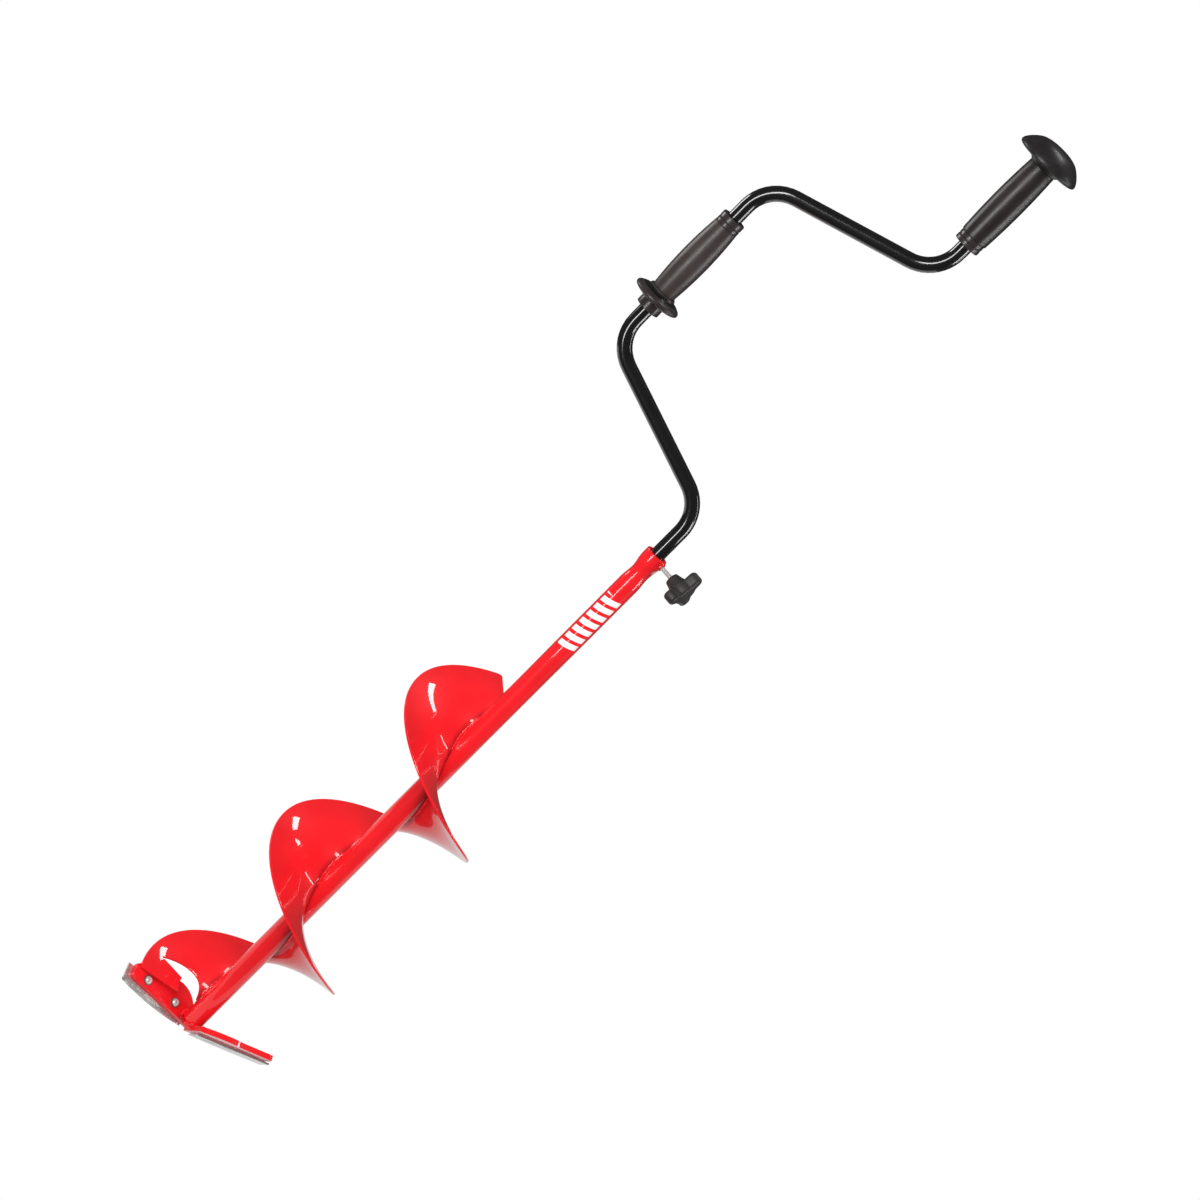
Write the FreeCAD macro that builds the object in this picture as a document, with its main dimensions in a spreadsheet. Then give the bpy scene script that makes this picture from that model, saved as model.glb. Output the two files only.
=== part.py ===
"""Hand ice auger: a flighted drill tube with two flat cutters, a cranked handle tube that
telescopes into it, and the clamp screw, grips and palm cap that go with them.

Frame: +Z up the drill's axis towards the palm cap, origin on that axis at the height of the
lowest point of the cutting edges. The handle is cranked towards -X and the clamp knob stands
out on the +X side. The drill cuts when it is turned counter-clockwise seen from above, so its
flight is left-handed.
"""
import FreeCAD, Part
import math
import os
import Sketcher

doc = FreeCAD.newDocument("IceAuger")

# ---------------------------------------------------------------- driving dimensions (mm, deg)
DIMENSIONS = {
    # drill tube, from its lower end to its rim
    "TubeOuterRadius": 11.4, "TubeWall": 1.5, "TubeFoot": 10, "TubeRim": 716,
    "NeckRadius": 10.2, "NeckBottom": 678, "NeckTop": 692, "NeckLength": 4, "FlareRadius": 12.4,
    "FlareBottom": 704, "RimBreak": 1, "PlugInset": 1, "PlugLength": 6, "PlugWall": 1.5,
    # left-handed flight, from the cutter seat up
    "FlightRadius": 84.5, "FlightPitch": 203, "FlightThickness": 2.6, "FlightFoot": 25.8,
    "FlightTurns": 2.284, "FlightFootAngle": 210, "CornerRadius": 5,
    # crescent slot and round relief hole in front of the cutter seat
    "SlotRadius": 41.5, "SlotAcross": -41.2, "SlotBack": 7.5, "SlotFront": -4,
    "ReliefRadius": 14, "ReliefAcross": -25.5, "ReliefForward": 1, "ReliefOverlap": 1,
    # cutter seats: flat plates, tipped down at the leading edge and raised at the outer end
    "SeatAzimuth": 33, "SeatAttack": 39, "SeatRise": 8, "SeatPivot": -0.85, "SeatThickness": 6,
    "SeatInner": -1.5, "SeatOuter": 90.5, "LeftSeatRear": 28, "RightSeatRear": 42,
    "SeatFrontInner": 4, "SeatFrontOuter": 8.7, "SeatCorner": 6,
    "RootInner": 4, "RootOuter": 52, "LeftRootBow": 12.5, "RightRootBow": 5, "SeatTrim": 22.2,
    # cutters
    "CutterThickness": 2, "CutterInner": 6, "CutterOuter": 97, "CutterRear": 22.5,
    "CutterBow": 3, "CutterGround": 5, "CutterEnds": 2.5, "CutterLand": 0.5,
    "ScrewInner": 28, "ScrewOuter": 71, "ScrewSetback": 16.5, "ScrewRadius": 2.5,
    "ScrewHeadRadius": 4.4, "ScrewHeadHeight": 2.7, "ScrewHoleRadius": 2.7,
    "WasherRadius": 5.4, "WasherThickness": 1,
    # handle tube and its bends
    "CrankRadius": 7.95, "CrankWall": 1.6, "CrankFoot": 420, "CrankOffset": 178.8, "BendRadius": 41,
    "LowerCorner": 778.4, "MidLowerCorner": 839.8, "MidUpperCorner": 1057, "UpperCorner": 1110,
    "CrankTop": 1261.5,
    # glide at the foot of the handle tube, held between a collar and a flanged plug
    "GlideRadius": 9.85, "GlideLength": 26, "CollarLength": 4, "StopRadius": 9.6,
    "GlideLead": 1, "CollarBreak": 1, "FootPlugDepth": 12, "TurningBore": 8, "Gap": 0.3,
    # guide bush in the mouth of the drill tube
    "BushFoot": 705, "BushRadius": 10.2, "BushInset": 0.5, "BushLead": 0.6,
    # clamp screw, measured out along its own axis from the drill's axis
    "ClampHeight": 710.3, "ClampAngle": -17, "BossRadius": 5.4, "BossReach": 13.4,
    "ClampHole": 2.6, "StudRadius": 2.5, "StudFoot": 10.6, "StudEnd": 37,
    "PadRadius": 2.3, "PadFoot": 8.2, "KnobFoot": 27.5, "KnobHubRadius": 8.2, "KnobHeadFoot": 39,
    "KnobEnd": 52, "LobeReach": 15.8, "LobeRadius": 7.4, "KnobCoreRadius": 13, "LobeTurn": 0,
    "InsertRadius": 4.5, "InsertEnd": 41,
    # middle grip and its guard disc
    "MidFoot": 885, "DiscFoot": 894, "DiscRim": 899.5, "DiscTop": 909, "DiscRadius": 28.6,
    "DiscEdge": 5.5, "DiscFillet": 1.5, "DiscStep": 1, "BowSlack": 0.01,
    "MidGripTop": 997.5, "MidEnd": 1009.5,
    "GripEndRadius": 13.3, "GripBulge": 2.3, "EndRingRadius": 13.2, "LinerRadius": 9.6,
    "RetainerRadius": 11.6, "RetainerThickness": 1.2, "RecessRadius": 12, "RecessDepth": 4,
    # top grip and palm cap
    "TopFoot": 1150, "TopGripFoot": 1161, "TopGripTop": 1254.5, "TopRingRadius": 14.1,
    "TopGripRadius": 14.9, "TopGripBulge": 1.5, "TopRetainerDrop": 3,
    "CapRadius": 35, "CapRim": 1261.5, "CapTop": 1281, "CapEdge": 4, "CapCrown": 16,
    "CapShoulder": 15, "CapFlare": 4, "CapStep": 1, "CapEdgeBow": 1.6, "CapDome": 3,
    "CapCrownDrop": 0.5, "CapBore": 6,
    # cutting tools: how far they outreach what they cut
    "Overshoot": 5, "ToolStart": 20, "ToolSpan": 150, "ToolHeight": 60, "SlotToolHeight": 81,
    "CornerToolDrop": 41, "CornerToolHeight": 61,
}
HAIR = 1e-6                 # lengths below this are nothing, in mm
VOLUME_TOLERANCE = 0.01     # of a swept tube against its section times its length
SLOPING = (0.05, 0.98)      # upward part of the normal of a face that is neither upright nor flat

sheet = doc.addObject("Spreadsheet::Sheet", "Dimensions")
for row, (alias, number) in enumerate(DIMENSIONS.items(), start=1):
    sheet.set(f"A{row}", alias)
    sheet.set(f"B{row}", str(number))
    sheet.setAlias(f"B{row}", alias)
doc.recompute()

UP = FreeCAD.Vector(0, 0, 1)
ACROSS = FreeCAD.Vector(1, 0, 0)
DEPTH = FreeCAD.Vector(0, 1, 0)
subparts = []


def expand(formula):
    """In a formula, @Name stands for the sheet's cell of that name."""
    return str(formula).replace("@", "Dimensions.")


def value(formula):
    """The number that a formula gives now."""
    result = sheet.evalExpression(expand(formula))
    return float(getattr(result, "Value", result))


def bind(obj, prop, formula):
    """Bind one property of an object to a formula."""
    obj.setExpression(prop, expand(formula))


def subpart(obj, label):
    """Register a finished object as one sub-part; its Label names its file."""
    obj.Label = label
    subparts.append(obj)
    return obj


# ---------------------------------------------------------------- sketches
def origin_feature(body, role):
    """The body's own axis or plane of that role."""
    return next(item for item in body.Origin.OriginFeatures if item.Role == role)


def new_sketch(body, name, plane="XZ_Plane"):
    """Empty sketch on one of the body's own planes."""
    sketch = body.newObject("Sketcher::SketchObject", name)
    sketch.AttachmentSupport = [(origin_feature(body, plane), "")]
    sketch.MapMode = "FlatFace"
    return sketch


def fix_point(sketch, geometry, point, across, up):
    """Tie one point of the sketch to a pair of formulas."""
    for kind, formula, zero_axis in (("DistanceX", across, -2), ("DistanceY", up, -1)):
        number = value(formula)
        if abs(number) < HAIR:
            sketch.addConstraint(Sketcher.Constraint("PointOnObject", geometry, point, zero_axis))
            continue
        index = sketch.addConstraint(Sketcher.Constraint(kind, -1, 1, geometry, point, number))
        bind(sketch, f"Constraints[{index}]", formula)


def bowed_radius(start, end, bow):
    """Formula of the radius of an arc between two corners that stands out from its chord by bow."""
    chord = f"(({end[0]} - ({start[0]}))^2 + ({end[1]} - ({start[1]}))^2)"
    return f"{chord} / (8 * {bow}) + {bow} / 2"


def arc_between(centre, radius, start, end):
    """Arc that runs counter-clockwise about its centre from start to end."""
    angles = [math.atan2(point.y - centre.y, point.x - centre.x) for point in (start, end)]
    return Part.ArcOfCircle(Part.Circle(centre, UP, radius), *angles)


def outline(sketch, corners):
    """Closed outline. A corner is (across, up), or (across, up, bow) where the edge that
    starts there is an arc that bows outward, with the corners taken counter-clockwise."""
    count = len(corners)
    points = [FreeCAD.Vector(value(corner[0]), value(corner[1]), 0) for corner in corners]
    for index, corner in enumerate(corners):
        start, end = points[index], points[(index + 1) % count]
        if len(corner) == 2:
            sketch.addGeometry(Part.LineSegment(start, end))
            continue
        bow, chord = value(corner[2]), end - start
        radius = chord.Length ** 2 / (8 * bow) + bow / 2
        outward = FreeCAD.Vector(chord.y, -chord.x, 0).normalize()
        centre = (start + end) * 0.5 + outward * (bow - radius)
        sketch.addGeometry(arc_between(centre, radius, start, end))
    for index, corner in enumerate(corners):
        following = corners[(index + 1) % count]
        sketch.addConstraint(Sketcher.Constraint("Coincident", index, 2, (index + 1) % count, 1))
        fix_point(sketch, index, 1, corner[0], corner[1])
        if len(corner) == 3:
            formula = bowed_radius(corner, following, corner[2])
            constraint = Sketcher.Constraint("Radius", index, value(formula))
            bind(sketch, f"Constraints[{sketch.addConstraint(constraint)}]", formula)
    return sketch


def ring(sketch, radius):
    """Circle about the sketch's origin."""
    circle = Part.Circle(FreeCAD.Vector(), UP, value(radius))
    geometry = sketch.addGeometry(circle)
    sketch.addConstraint(Sketcher.Constraint("Coincident", geometry, 3, -1, 1))
    index = sketch.addConstraint(Sketcher.Constraint("Radius", geometry, value(radius)))
    bind(sketch, f"Constraints[{index}]", radius)
    return sketch


# ---------------------------------------------------------------- solids
def turned(name, section, across="0"):
    """Body turned about a vertical axis from a half-section of (radius, height) corners."""
    body = doc.addObject("PartDesign::Body", name)
    sketch = outline(new_sketch(body, name + "Section"), section)
    feature = body.newObject("PartDesign::Revolution", name + "Turned")
    feature.Profile = sketch
    feature.ReferenceAxis = (origin_feature(body, "Z_Axis"), [""])
    feature.Angle = 360
    bind(body, "Placement.Base.x", across)
    return body


def padded(name, corners, thickness, downward=False):
    """Body of flat plate, cut to an outline in its own XY plane."""
    body = doc.addObject("PartDesign::Body", name)
    sketch = outline(new_sketch(body, name + "Outline", "XY_Plane"), corners)
    feature = body.newObject("PartDesign::Pad", name + "Plate")
    feature.Profile = sketch
    feature.Reversed = downward
    bind(feature, "Length", thickness)
    return body


def primitive(kind, name, place=None, **formulas):
    """A Part primitive whose dimensions are bound to formulas."""
    solid = doc.addObject(f"Part::{kind}", name)
    for prop, formula in formulas.items():
        bind(solid, prop, formula)
    if place is not None:
        solid.Placement = place
    return solid


def cut(name, base, *tools):
    """A base with the tools cut out of it."""
    result = doc.addObject("Part::Cut", name)
    result.Base = base
    result.Tool = tools[0] if len(tools) == 1 else fuse(name + "Tools", *tools)
    return result


def fuse(name, *shapes):
    """Several shapes joined in one."""
    result = doc.addObject("Part::MultiFuse", name)
    result.Shapes = list(shapes)
    return result


def group(name, *shapes):
    """Several like pieces that share one sub-part."""
    result = doc.addObject("Part::Compound", name)
    result.Links = list(shapes)
    return result


# ---------------------------------------------------------------- places
def clamp_frame(reach="0"):
    """The clamp screw's frame: Z runs outward along the screw, from a reach off the drill's axis."""
    turn = FreeCAD.Rotation(UP, value("@ClampAngle"))
    outward = turn.multVec(ACROSS * value(reach))
    return FreeCAD.Placement(outward + UP * value("@ClampHeight"), turn * FreeCAD.Rotation(DEPTH, 90))


def seat_frame(side, along="0", forward="0", above="0"):
    """A cutter seat's frame: X out along the arm, Y towards the leading edge, Z off the top face."""
    azimuth = value("@SeatAzimuth") + 180 * side
    tilt = FreeCAD.Rotation(azimuth, -value("@SeatRise"), -value("@SeatAttack"))
    pivot = UP * value("@SeatPivot")
    offset = FreeCAD.Vector(value(along), value(forward), value(above))
    return FreeCAD.Placement(pivot + tilt.multVec(offset), tilt)


SIDES = {"right": 0, "left": 1}
SEAT_REAR = {"right": "@RightSeatRear", "left": "@LeftSeatRear"}
ROOT_BOW = {"right": "@RightRootBow", "left": "@LeftRootBow"}
SCREW_REACH = {"Inner": "@ScrewInner", "Outer": "@ScrewOuter"}


# ---------------------------------------------------------------- drill
def make_drill_tube():
    """Steel tube, drawn in to a neck below the flared socket that takes the handle tube."""
    body = turned("DrillTubeBody", [
        ("@TubeOuterRadius - @TubeWall", "@TubeFoot"),
        ("@TubeOuterRadius", "@TubeFoot"),
        ("@TubeOuterRadius", "@NeckBottom"),
        ("@NeckRadius", "@NeckTop - @NeckLength"),
        ("@NeckRadius", "@NeckTop"),
        ("@FlareRadius", "@FlareBottom"),
        ("@FlareRadius", "@TubeRim - @RimBreak"),
        ("@FlareRadius - @RimBreak", "@TubeRim"),
        ("@BushRadius", "@TubeRim"),
        ("@BushRadius", "@BushFoot"),
        ("@NeckRadius - @TubeWall", "@NeckTop + @RimBreak"),
        ("@NeckRadius - @TubeWall", "@NeckTop - @NeckLength - @RimBreak"),
        ("@TubeOuterRadius - @TubeWall", "@NeckBottom - 2 * @RimBreak"),
    ])
    hole = primitive("Cylinder", "BossSeat", clamp_frame(), Radius="@BossRadius",
                     Height="@FlareRadius + @Overshoot")
    subpart(cut("DrillTube", body, hole), "drill_tube")


def make_tube_end_plug():
    """Pressed steel cup that closes the drill tube's lower end."""
    bore = "@TubeOuterRadius - @TubeWall"
    foot = "@TubeFoot + @PlugInset"
    top, floor = f"{foot} + @PlugLength", f"{foot} + @PlugWall"
    subpart(turned("TubeEndPlug", [
        ("0", foot), (bore, foot), (bore, top), (f"{bore} - @PlugWall", top),
        (f"{bore} - @PlugWall", floor), ("0", floor),
    ]), "tube_end_plug")


def make_guide_bush():
    """Plastic bush in the mouth of the drill tube, in which the handle tube slides and turns."""
    body = turned("GuideBushBody", [
        ("@TurningBore", "@BushFoot"), ("@BushRadius", "@BushFoot"),
        ("@BushRadius", "@TubeRim - @BushInset"), ("@TurningBore + @BushLead", "@TubeRim - @BushInset"),
        ("@TurningBore", "@TubeRim - @BushInset - @BushLead"),
    ])
    hole = primitive("Cylinder", "BushHole", clamp_frame(), Radius="@BossRadius",
                     Height="@FlareRadius + @Overshoot")
    subpart(cut("GuideBush", body, hole), "guide_bush")


def make_clamp_boss():
    """Threaded boss brazed through the socket's wall; it carries the clamp screw."""
    boss = primitive("Cylinder", "BossBlank", clamp_frame("@TurningBore + @BushLead"), Radius="@BossRadius",
                     Height="@BossReach - @TurningBore - @BushLead")
    hole = primitive("Cylinder", "BossHole", clamp_frame(), Radius="@ClampHole",
                     Height="@BossReach + @Overshoot")
    subpart(cut("ClampBoss", boss, hole), "clamp_boss")


def make_flight():
    """One strip of sheet wound left-handed round the tube, down to the left cutter seat, with a
    rounded corner at its upper end, a crescent slot and a relief hole near its lower end."""
    body = doc.addObject("PartDesign::Body", "FlightStrip")
    section = outline(new_sketch(body, "FlightSection"), [
        ("@TubeOuterRadius", "0"), ("@FlightRadius", "0"),
        ("@FlightRadius", "@FlightThickness"), ("@TubeOuterRadius", "@FlightThickness"),
    ])
    helix = body.newObject("PartDesign::AdditiveHelix", "FlightHelix")
    helix.Profile = section
    helix.ReferenceAxis = (section, ["V_Axis"])
    helix.Mode = "pitch-turns-angle"
    bind(helix, "Pitch", "@FlightPitch")
    bind(helix, "Turns", "@FlightTurns")
    helix.LeftHanded = True
    body.Placement = FreeCAD.Placement(UP * value("@FlightFoot"),
                                       FreeCAD.Rotation(UP, value("@FlightFootAngle")))

    # crescent slot: a round segment, closed by a straight front edge
    centre = FreeCAD.Vector(value("@SlotAcross"), value("@SlotBack - @SlotRadius"), 0)
    disc = primitive("Cylinder", "SlotDisc", FreeCAD.Placement(centre, FreeCAD.Rotation()),
                     Radius="@SlotRadius", Height="@SlotToolHeight")
    front = primitive("Box", "SlotFrontEdge",
                      FreeCAD.Placement(FreeCAD.Vector(-value("@FlightRadius"), value("@SlotFront"), 0),
                                        FreeCAD.Rotation()),
                      Length="2 * @FlightRadius", Width="@FlightRadius", Height="@SlotToolHeight")
    slot = doc.addObject("Part::Common", "Slot")
    slot.Base, slot.Tool = disc, front
    relief_centre = FreeCAD.Vector(value("@ReliefAcross"), -value("@ReliefForward"), 0)
    relief_front = FreeCAD.Vector(-value("@FlightRadius"),
                                  value("@SlotFront - @FlightRadius + @ReliefOverlap"), 0)
    relief = doc.addObject("Part::Common", "Relief")
    relief.Base = primitive("Cylinder", "ReliefDisc",
                            FreeCAD.Placement(relief_centre, FreeCAD.Rotation()),
                            Radius="@ReliefRadius", Height="@SlotToolHeight")
    relief.Tool = primitive("Box", "ReliefFront", FreeCAD.Placement(relief_front, FreeCAD.Rotation()),
                            Length="2 * @FlightRadius", Width="@FlightRadius",
                            Height="@SlotToolHeight")

    # scrap outside the rounded corner of the upper end
    end_angle = value("@FlightFootAngle - 360 * @FlightTurns")
    end_height = value("@FlightFoot + @FlightPitch * @FlightTurns")
    inner = value("@FlightRadius - @CornerRadius")
    corner = FreeCAD.Vector(math.sqrt(inner ** 2 - value("@CornerRadius") ** 2), value("@CornerRadius"), 0)
    tangent = corner * (value("@FlightRadius") / inner)
    turn = FreeCAD.Rotation(UP, end_angle)
    drop = UP * (end_height - value("@CornerToolDrop"))
    start = value("@ToolStart")
    scrap = primitive("Box", "CornerScrap",
                      FreeCAD.Placement(turn.multVec(FreeCAD.Vector(corner.x, -start, 0)) + drop, turn),
                      Length="@FlightRadius", Height="@CornerToolHeight")
    scrap.Width = tangent.y + start
    round_bar = primitive("Cylinder", "CornerRound", FreeCAD.Placement(turn.multVec(corner) + drop, turn),
                          Radius="@CornerRadius", Height="@CornerToolHeight")
    corner_tool = cut("CornerTool", scrap, round_bar)

    # everything below the top face of the left cutter seat
    under_seat = primitive("Box", "UnderSeat",
                           seat_frame(SIDES["left"], "-@ToolStart", "-@LeftSeatRear",
                                      "@SeatThickness - @ToolHeight"),
                           Length="@ToolSpan", Width="@ToolSpan", Height="@ToolHeight")

    # and everything ahead of the line that its foot is welded on
    ahead_of_seat = primitive("Box", "AheadOfSeat",
                              seat_frame(SIDES["left"], "-@ToolStart", "-@SeatTrim", "-@ToolHeight"),
                              Length="@ToolSpan", Width="@ToolSpan", Height="2 * @ToolHeight")
    subpart(cut("Flight", body, slot, relief, corner_tool, under_seat, ahead_of_seat), "flight")


def make_cutter_seats():
    """Two flat seats welded to the foot of the tube, half a turn apart."""
    for name, side in SIDES.items():
        rear = f"-{SEAT_REAR[name]}"
        plate = padded(f"SeatPlate_{name}", [
            ("@SeatInner", rear), ("@RootInner", rear, ROOT_BOW[name]), ("@RootOuter", rear),
            ("@SeatOuter", rear), ("@SeatOuter", "-@SeatFrontOuter"), ("@SeatInner", "-@SeatFrontInner"),
        ], "@SeatThickness")
        doc.recompute()
        round_plate_corners(plate, "@SeatOuter", "@SeatCorner")
        plate.Placement = seat_frame(side)
        tube = primitive("Cylinder", f"SeatTubeClearance_{name}",
                         FreeCAD.Placement(UP * value("@TubeFoot"), FreeCAD.Rotation()),
                         Radius="@TubeOuterRadius", Height="@ToolHeight")
        holes = [screw_bar(f"SeatHole_{name}_{reach}", side, along, "@ScrewHoleRadius")
                 for reach, along in SCREW_REACH.items()]
        subpart(cut(f"Seat_{name}", plate, tube, *holes), f"cutter_seat_{name}")


def round_plate_corners(body, across, radius):
    """Round the plate's two outer corners."""
    plate = body.Tip
    edges = []
    for number, edge in enumerate(plate.Shape.Edges, start=1):
        low, high = edge.Vertexes[0].Point, edge.Vertexes[-1].Point
        upright = abs(low.x - high.x) < HAIR and abs(low.y - high.y) < HAIR
        if upright and abs(low.x - value(across)) < HAIR:
            edges.append(f"Edge{number}")
    rounding = body.newObject("PartDesign::Fillet", body.Name + "Corners")
    rounding.Base = (plate, edges)
    bind(rounding, "Radius", radius)


def screw_bar(name, side, along, radius, low="-@Overshoot", length="4 * @Overshoot"):
    """Round bar on the axis of one cutter screw, from a height above the seat's lower face."""
    return primitive("Cylinder", name, seat_frame(side, along, "-@ScrewSetback", low),
                     Radius=radius, Height=length)


def make_cutters():
    """Flat cutters bolted under the seats; the leading edge bows forward and is ground on top."""
    for name, side in SIDES.items():
        blade = padded(f"CutterPlate_{name}", [
            ("@CutterInner", "-@CutterRear"), ("@CutterOuter", "-@CutterRear"),
            ("@CutterOuter", "-@CutterEnds", "@CutterBow"), ("@CutterInner", "-@CutterEnds"),
        ], "@CutterThickness", downward=True)
        doc.recompute()
        grind_leading_edge(blade)
        blade.Placement = seat_frame(side)
        holes = [screw_bar(f"CutterHole_{name}_{reach}", side, along, "@ScrewRadius")
                 for reach, along in SCREW_REACH.items()]
        subpart(cut(f"Cutter_{name}", blade, *holes), f"cutter_{name}")


def grind_leading_edge(body):
    """Bevel the upper arris of the bowed edge down to a thin land."""
    plate = body.Tip
    names = [f"Edge{number}" for number, edge in enumerate(plate.Shape.Edges, start=1)
             if isinstance(edge.Curve, Part.Circle) and abs(edge.CenterOfMass.z) < HAIR]
    bevel = body.newObject("PartDesign::Chamfer", body.Name + "Ground")
    bevel.Base = (plate, names)
    bevel.ChamferType = "Two distances"
    bind(bevel, "Size", "@CutterGround")
    bind(bevel, "Size2", "@CutterThickness - @CutterLand")
    doc.recompute()
    if ground_width(bevel.Shape) < (value("@CutterGround") + value("@CutterThickness - @CutterLand")) / 2:
        bevel.FlipDirection = True


def ground_width(shape):
    """Width, along the plate, of the ground face: the one that is neither flat nor upright."""
    for face in shape.Faces:
        normal = face.normalAt(*face.Surface.parameter(face.CenterOfMass))
        if SLOPING[0] < abs(normal.z) < SLOPING[1]:
            return abs(normal.z) * face.Area / face.BoundBox.XLength
    return 0.0


def make_cutter_fasteners():
    """Button-head screws with a washer each; they pass through the seats into tapped cutters."""
    screws, washers = [], []
    for name, side in SIDES.items():
        for reach, along in SCREW_REACH.items():
            tag = f"{name}_{reach}"
            shank = screw_bar(f"Shank_{tag}", side, along, "@ScrewRadius", "-@CutterThickness",
                              "@SeatThickness + @WasherThickness + @CutterThickness")
            head = screw_bar(f"Head_{tag}", side, along, "@ScrewHeadRadius",
                             "@SeatThickness + @WasherThickness", "@ScrewHeadHeight")
            screws.append(fuse(f"Screw_{tag}", shank, head))
            disc = screw_bar(f"WasherDisc_{tag}", side, along, "@WasherRadius", "@SeatThickness",
                             "@WasherThickness")
            eye = screw_bar(f"WasherEye_{tag}", side, along, "@ScrewRadius")
            washers.append(cut(f"Washer_{tag}", disc, eye))
    subpart(group("CutterScrews", *screws), "cutter_screws")
    subpart(group("CutterWashers", *washers), "cutter_washers")


# ---------------------------------------------------------------- handle tube
def bent_route():
    """Corners of the handle tube's centre line, from its foot to its top, as formulas."""
    return [("0", "@CrankFoot"), ("0", "@LowerCorner"), ("-@CrankOffset", "@MidLowerCorner"),
            ("-@CrankOffset", "@MidUpperCorner"), ("0", "@UpperCorner"), ("0", "@CrankTop")]


def spine(sketch, corners, radius):
    """Straight runs through the corners, joined by tangent bends, all of one radius."""
    points = [FreeCAD.Vector(value(across), value(up), 0) for across, up in corners]
    bend, start = value(radius), points[0]
    last = 2 * (len(points) - 2)
    for before, corner, after in zip(points, points[1:], points[2:]):
        incoming, outgoing = (corner - before).normalize(), (after - corner).normalize()
        half = incoming.getAngle(outgoing) / 2
        enter = corner - incoming * bend * math.tan(half)
        leave = corner + outgoing * bend * math.tan(half)
        centre = corner + (outgoing - incoming).normalize() * (bend / math.cos(half))
        left_turn = incoming.cross(outgoing).z > 0
        line = sketch.addGeometry(Part.LineSegment(start, enter))
        ends = (enter, leave) if left_turn else (leave, enter)
        arc = sketch.addGeometry(arc_between(centre, bend, *ends))
        tie_bend(sketch, line, arc, radius, left_turn)
        start = leave
    sketch.addGeometry(Part.LineSegment(start, points[-1]))
    for line in range(2, last + 1, 2):
        far = 2 if sketch.Geometry[line - 1].EndPoint.isEqual(sketch.Geometry[line].StartPoint, HAIR) else 1
        sketch.addConstraint(Sketcher.Constraint("Tangent", line - 1, far, line, 1))
    fix_point(sketch, 0, 1, *corners[0])
    fix_point(sketch, last, 2, *corners[-1])
    for index, corner in enumerate(corners[1:-1]):
        mark = sketch.addGeometry(Part.Point(points[index + 1]), True)
        fix_point(sketch, mark, 1, *corner)
        for line in (2 * index, 2 * index + 2):
            sketch.addConstraint(Sketcher.Constraint("PointOnObject", mark, 1, line))
    return sketch


def tie_bend(sketch, line, arc, radius, left_turn):
    """Join a bend to the run before it and bind its radius."""
    sketch.addConstraint(Sketcher.Constraint("Tangent", line, 2, arc, 1 if left_turn else 2))
    constraint = Sketcher.Constraint("Radius", arc, value(radius))
    bind(sketch, f"Constraints[{sketch.addConstraint(constraint)}]", radius)


def make_crank_tube():
    """Steel tube bent to a brace, its ends on the drill's axis."""
    body = doc.addObject("PartDesign::Body", "CrankTube")
    path = spine(new_sketch(body, "CrankPath"), bent_route(), "@BendRadius")
    section = new_sketch(body, "CrankSection", "XY_Plane")
    ring(section, "@CrankRadius")
    ring(section, "@CrankRadius - @CrankWall")
    bind(section, "AttachmentOffset.Base.z", "@CrankFoot")
    doc.recompute()
    tube = body.newObject("PartDesign::AdditivePipe", "CrankPipe")
    tube.Profile = section
    tube.Spine = (path, [])
    doc.recompute()
    length = sum(edge.Length for edge in path.Shape.Edges)
    outer, inner = value("@CrankRadius"), value("@CrankRadius - @CrankWall")
    expected = math.pi * (outer ** 2 - inner ** 2) * length
    if abs(tube.Shape.Volume / expected - 1) > VOLUME_TOLERANCE:
        raise RuntimeError("the handle tube's volume is not its section times its length")
    subpart(body, "crank_tube")


def make_glide():
    """Plastic glide on the foot of the handle tube, between a stop collar and a flanged plug."""
    foot = "@CrankFoot + @Gap"
    top = "@CrankFoot + @Gap + @GlideLength"
    subpart(turned("GlideSleeve", [
        ("@TurningBore", foot), ("@GlideRadius - @GlideLead", foot),
        ("@GlideRadius", f"{foot} + 2 * @GlideLead"), ("@GlideRadius", f"{top} - 2 * @GlideLead"),
        ("@GlideRadius - @GlideLead", top), ("@TurningBore", top),
    ]), "glide_sleeve")
    collar = f"{top} + @Gap"
    subpart(turned("StopCollar", [
        ("@CrankRadius", collar), ("@StopRadius", collar),
        ("@StopRadius", f"{collar} + @CollarLength - @CollarBreak"),
        ("@StopRadius - @CollarBreak", f"{collar} + @CollarLength"),
        ("@CrankRadius", f"{collar} + @CollarLength"),
    ]), "glide_stop_collar")
    subpart(turned("CrankFootPlug", [
        ("0", "@CrankFoot - @CollarLength"), ("@StopRadius - @CollarBreak", "@CrankFoot - @CollarLength"),
        ("@StopRadius", "@CrankFoot - @CollarLength + @CollarBreak"), ("@StopRadius", "@CrankFoot"),
        ("@CrankRadius - @CrankWall", "@CrankFoot"),
        ("@CrankRadius - @CrankWall", "@CrankFoot + @FootPlugDepth"), ("0", "@CrankFoot + @FootPlugDepth"),
    ]), "crank_foot_plug")


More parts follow.
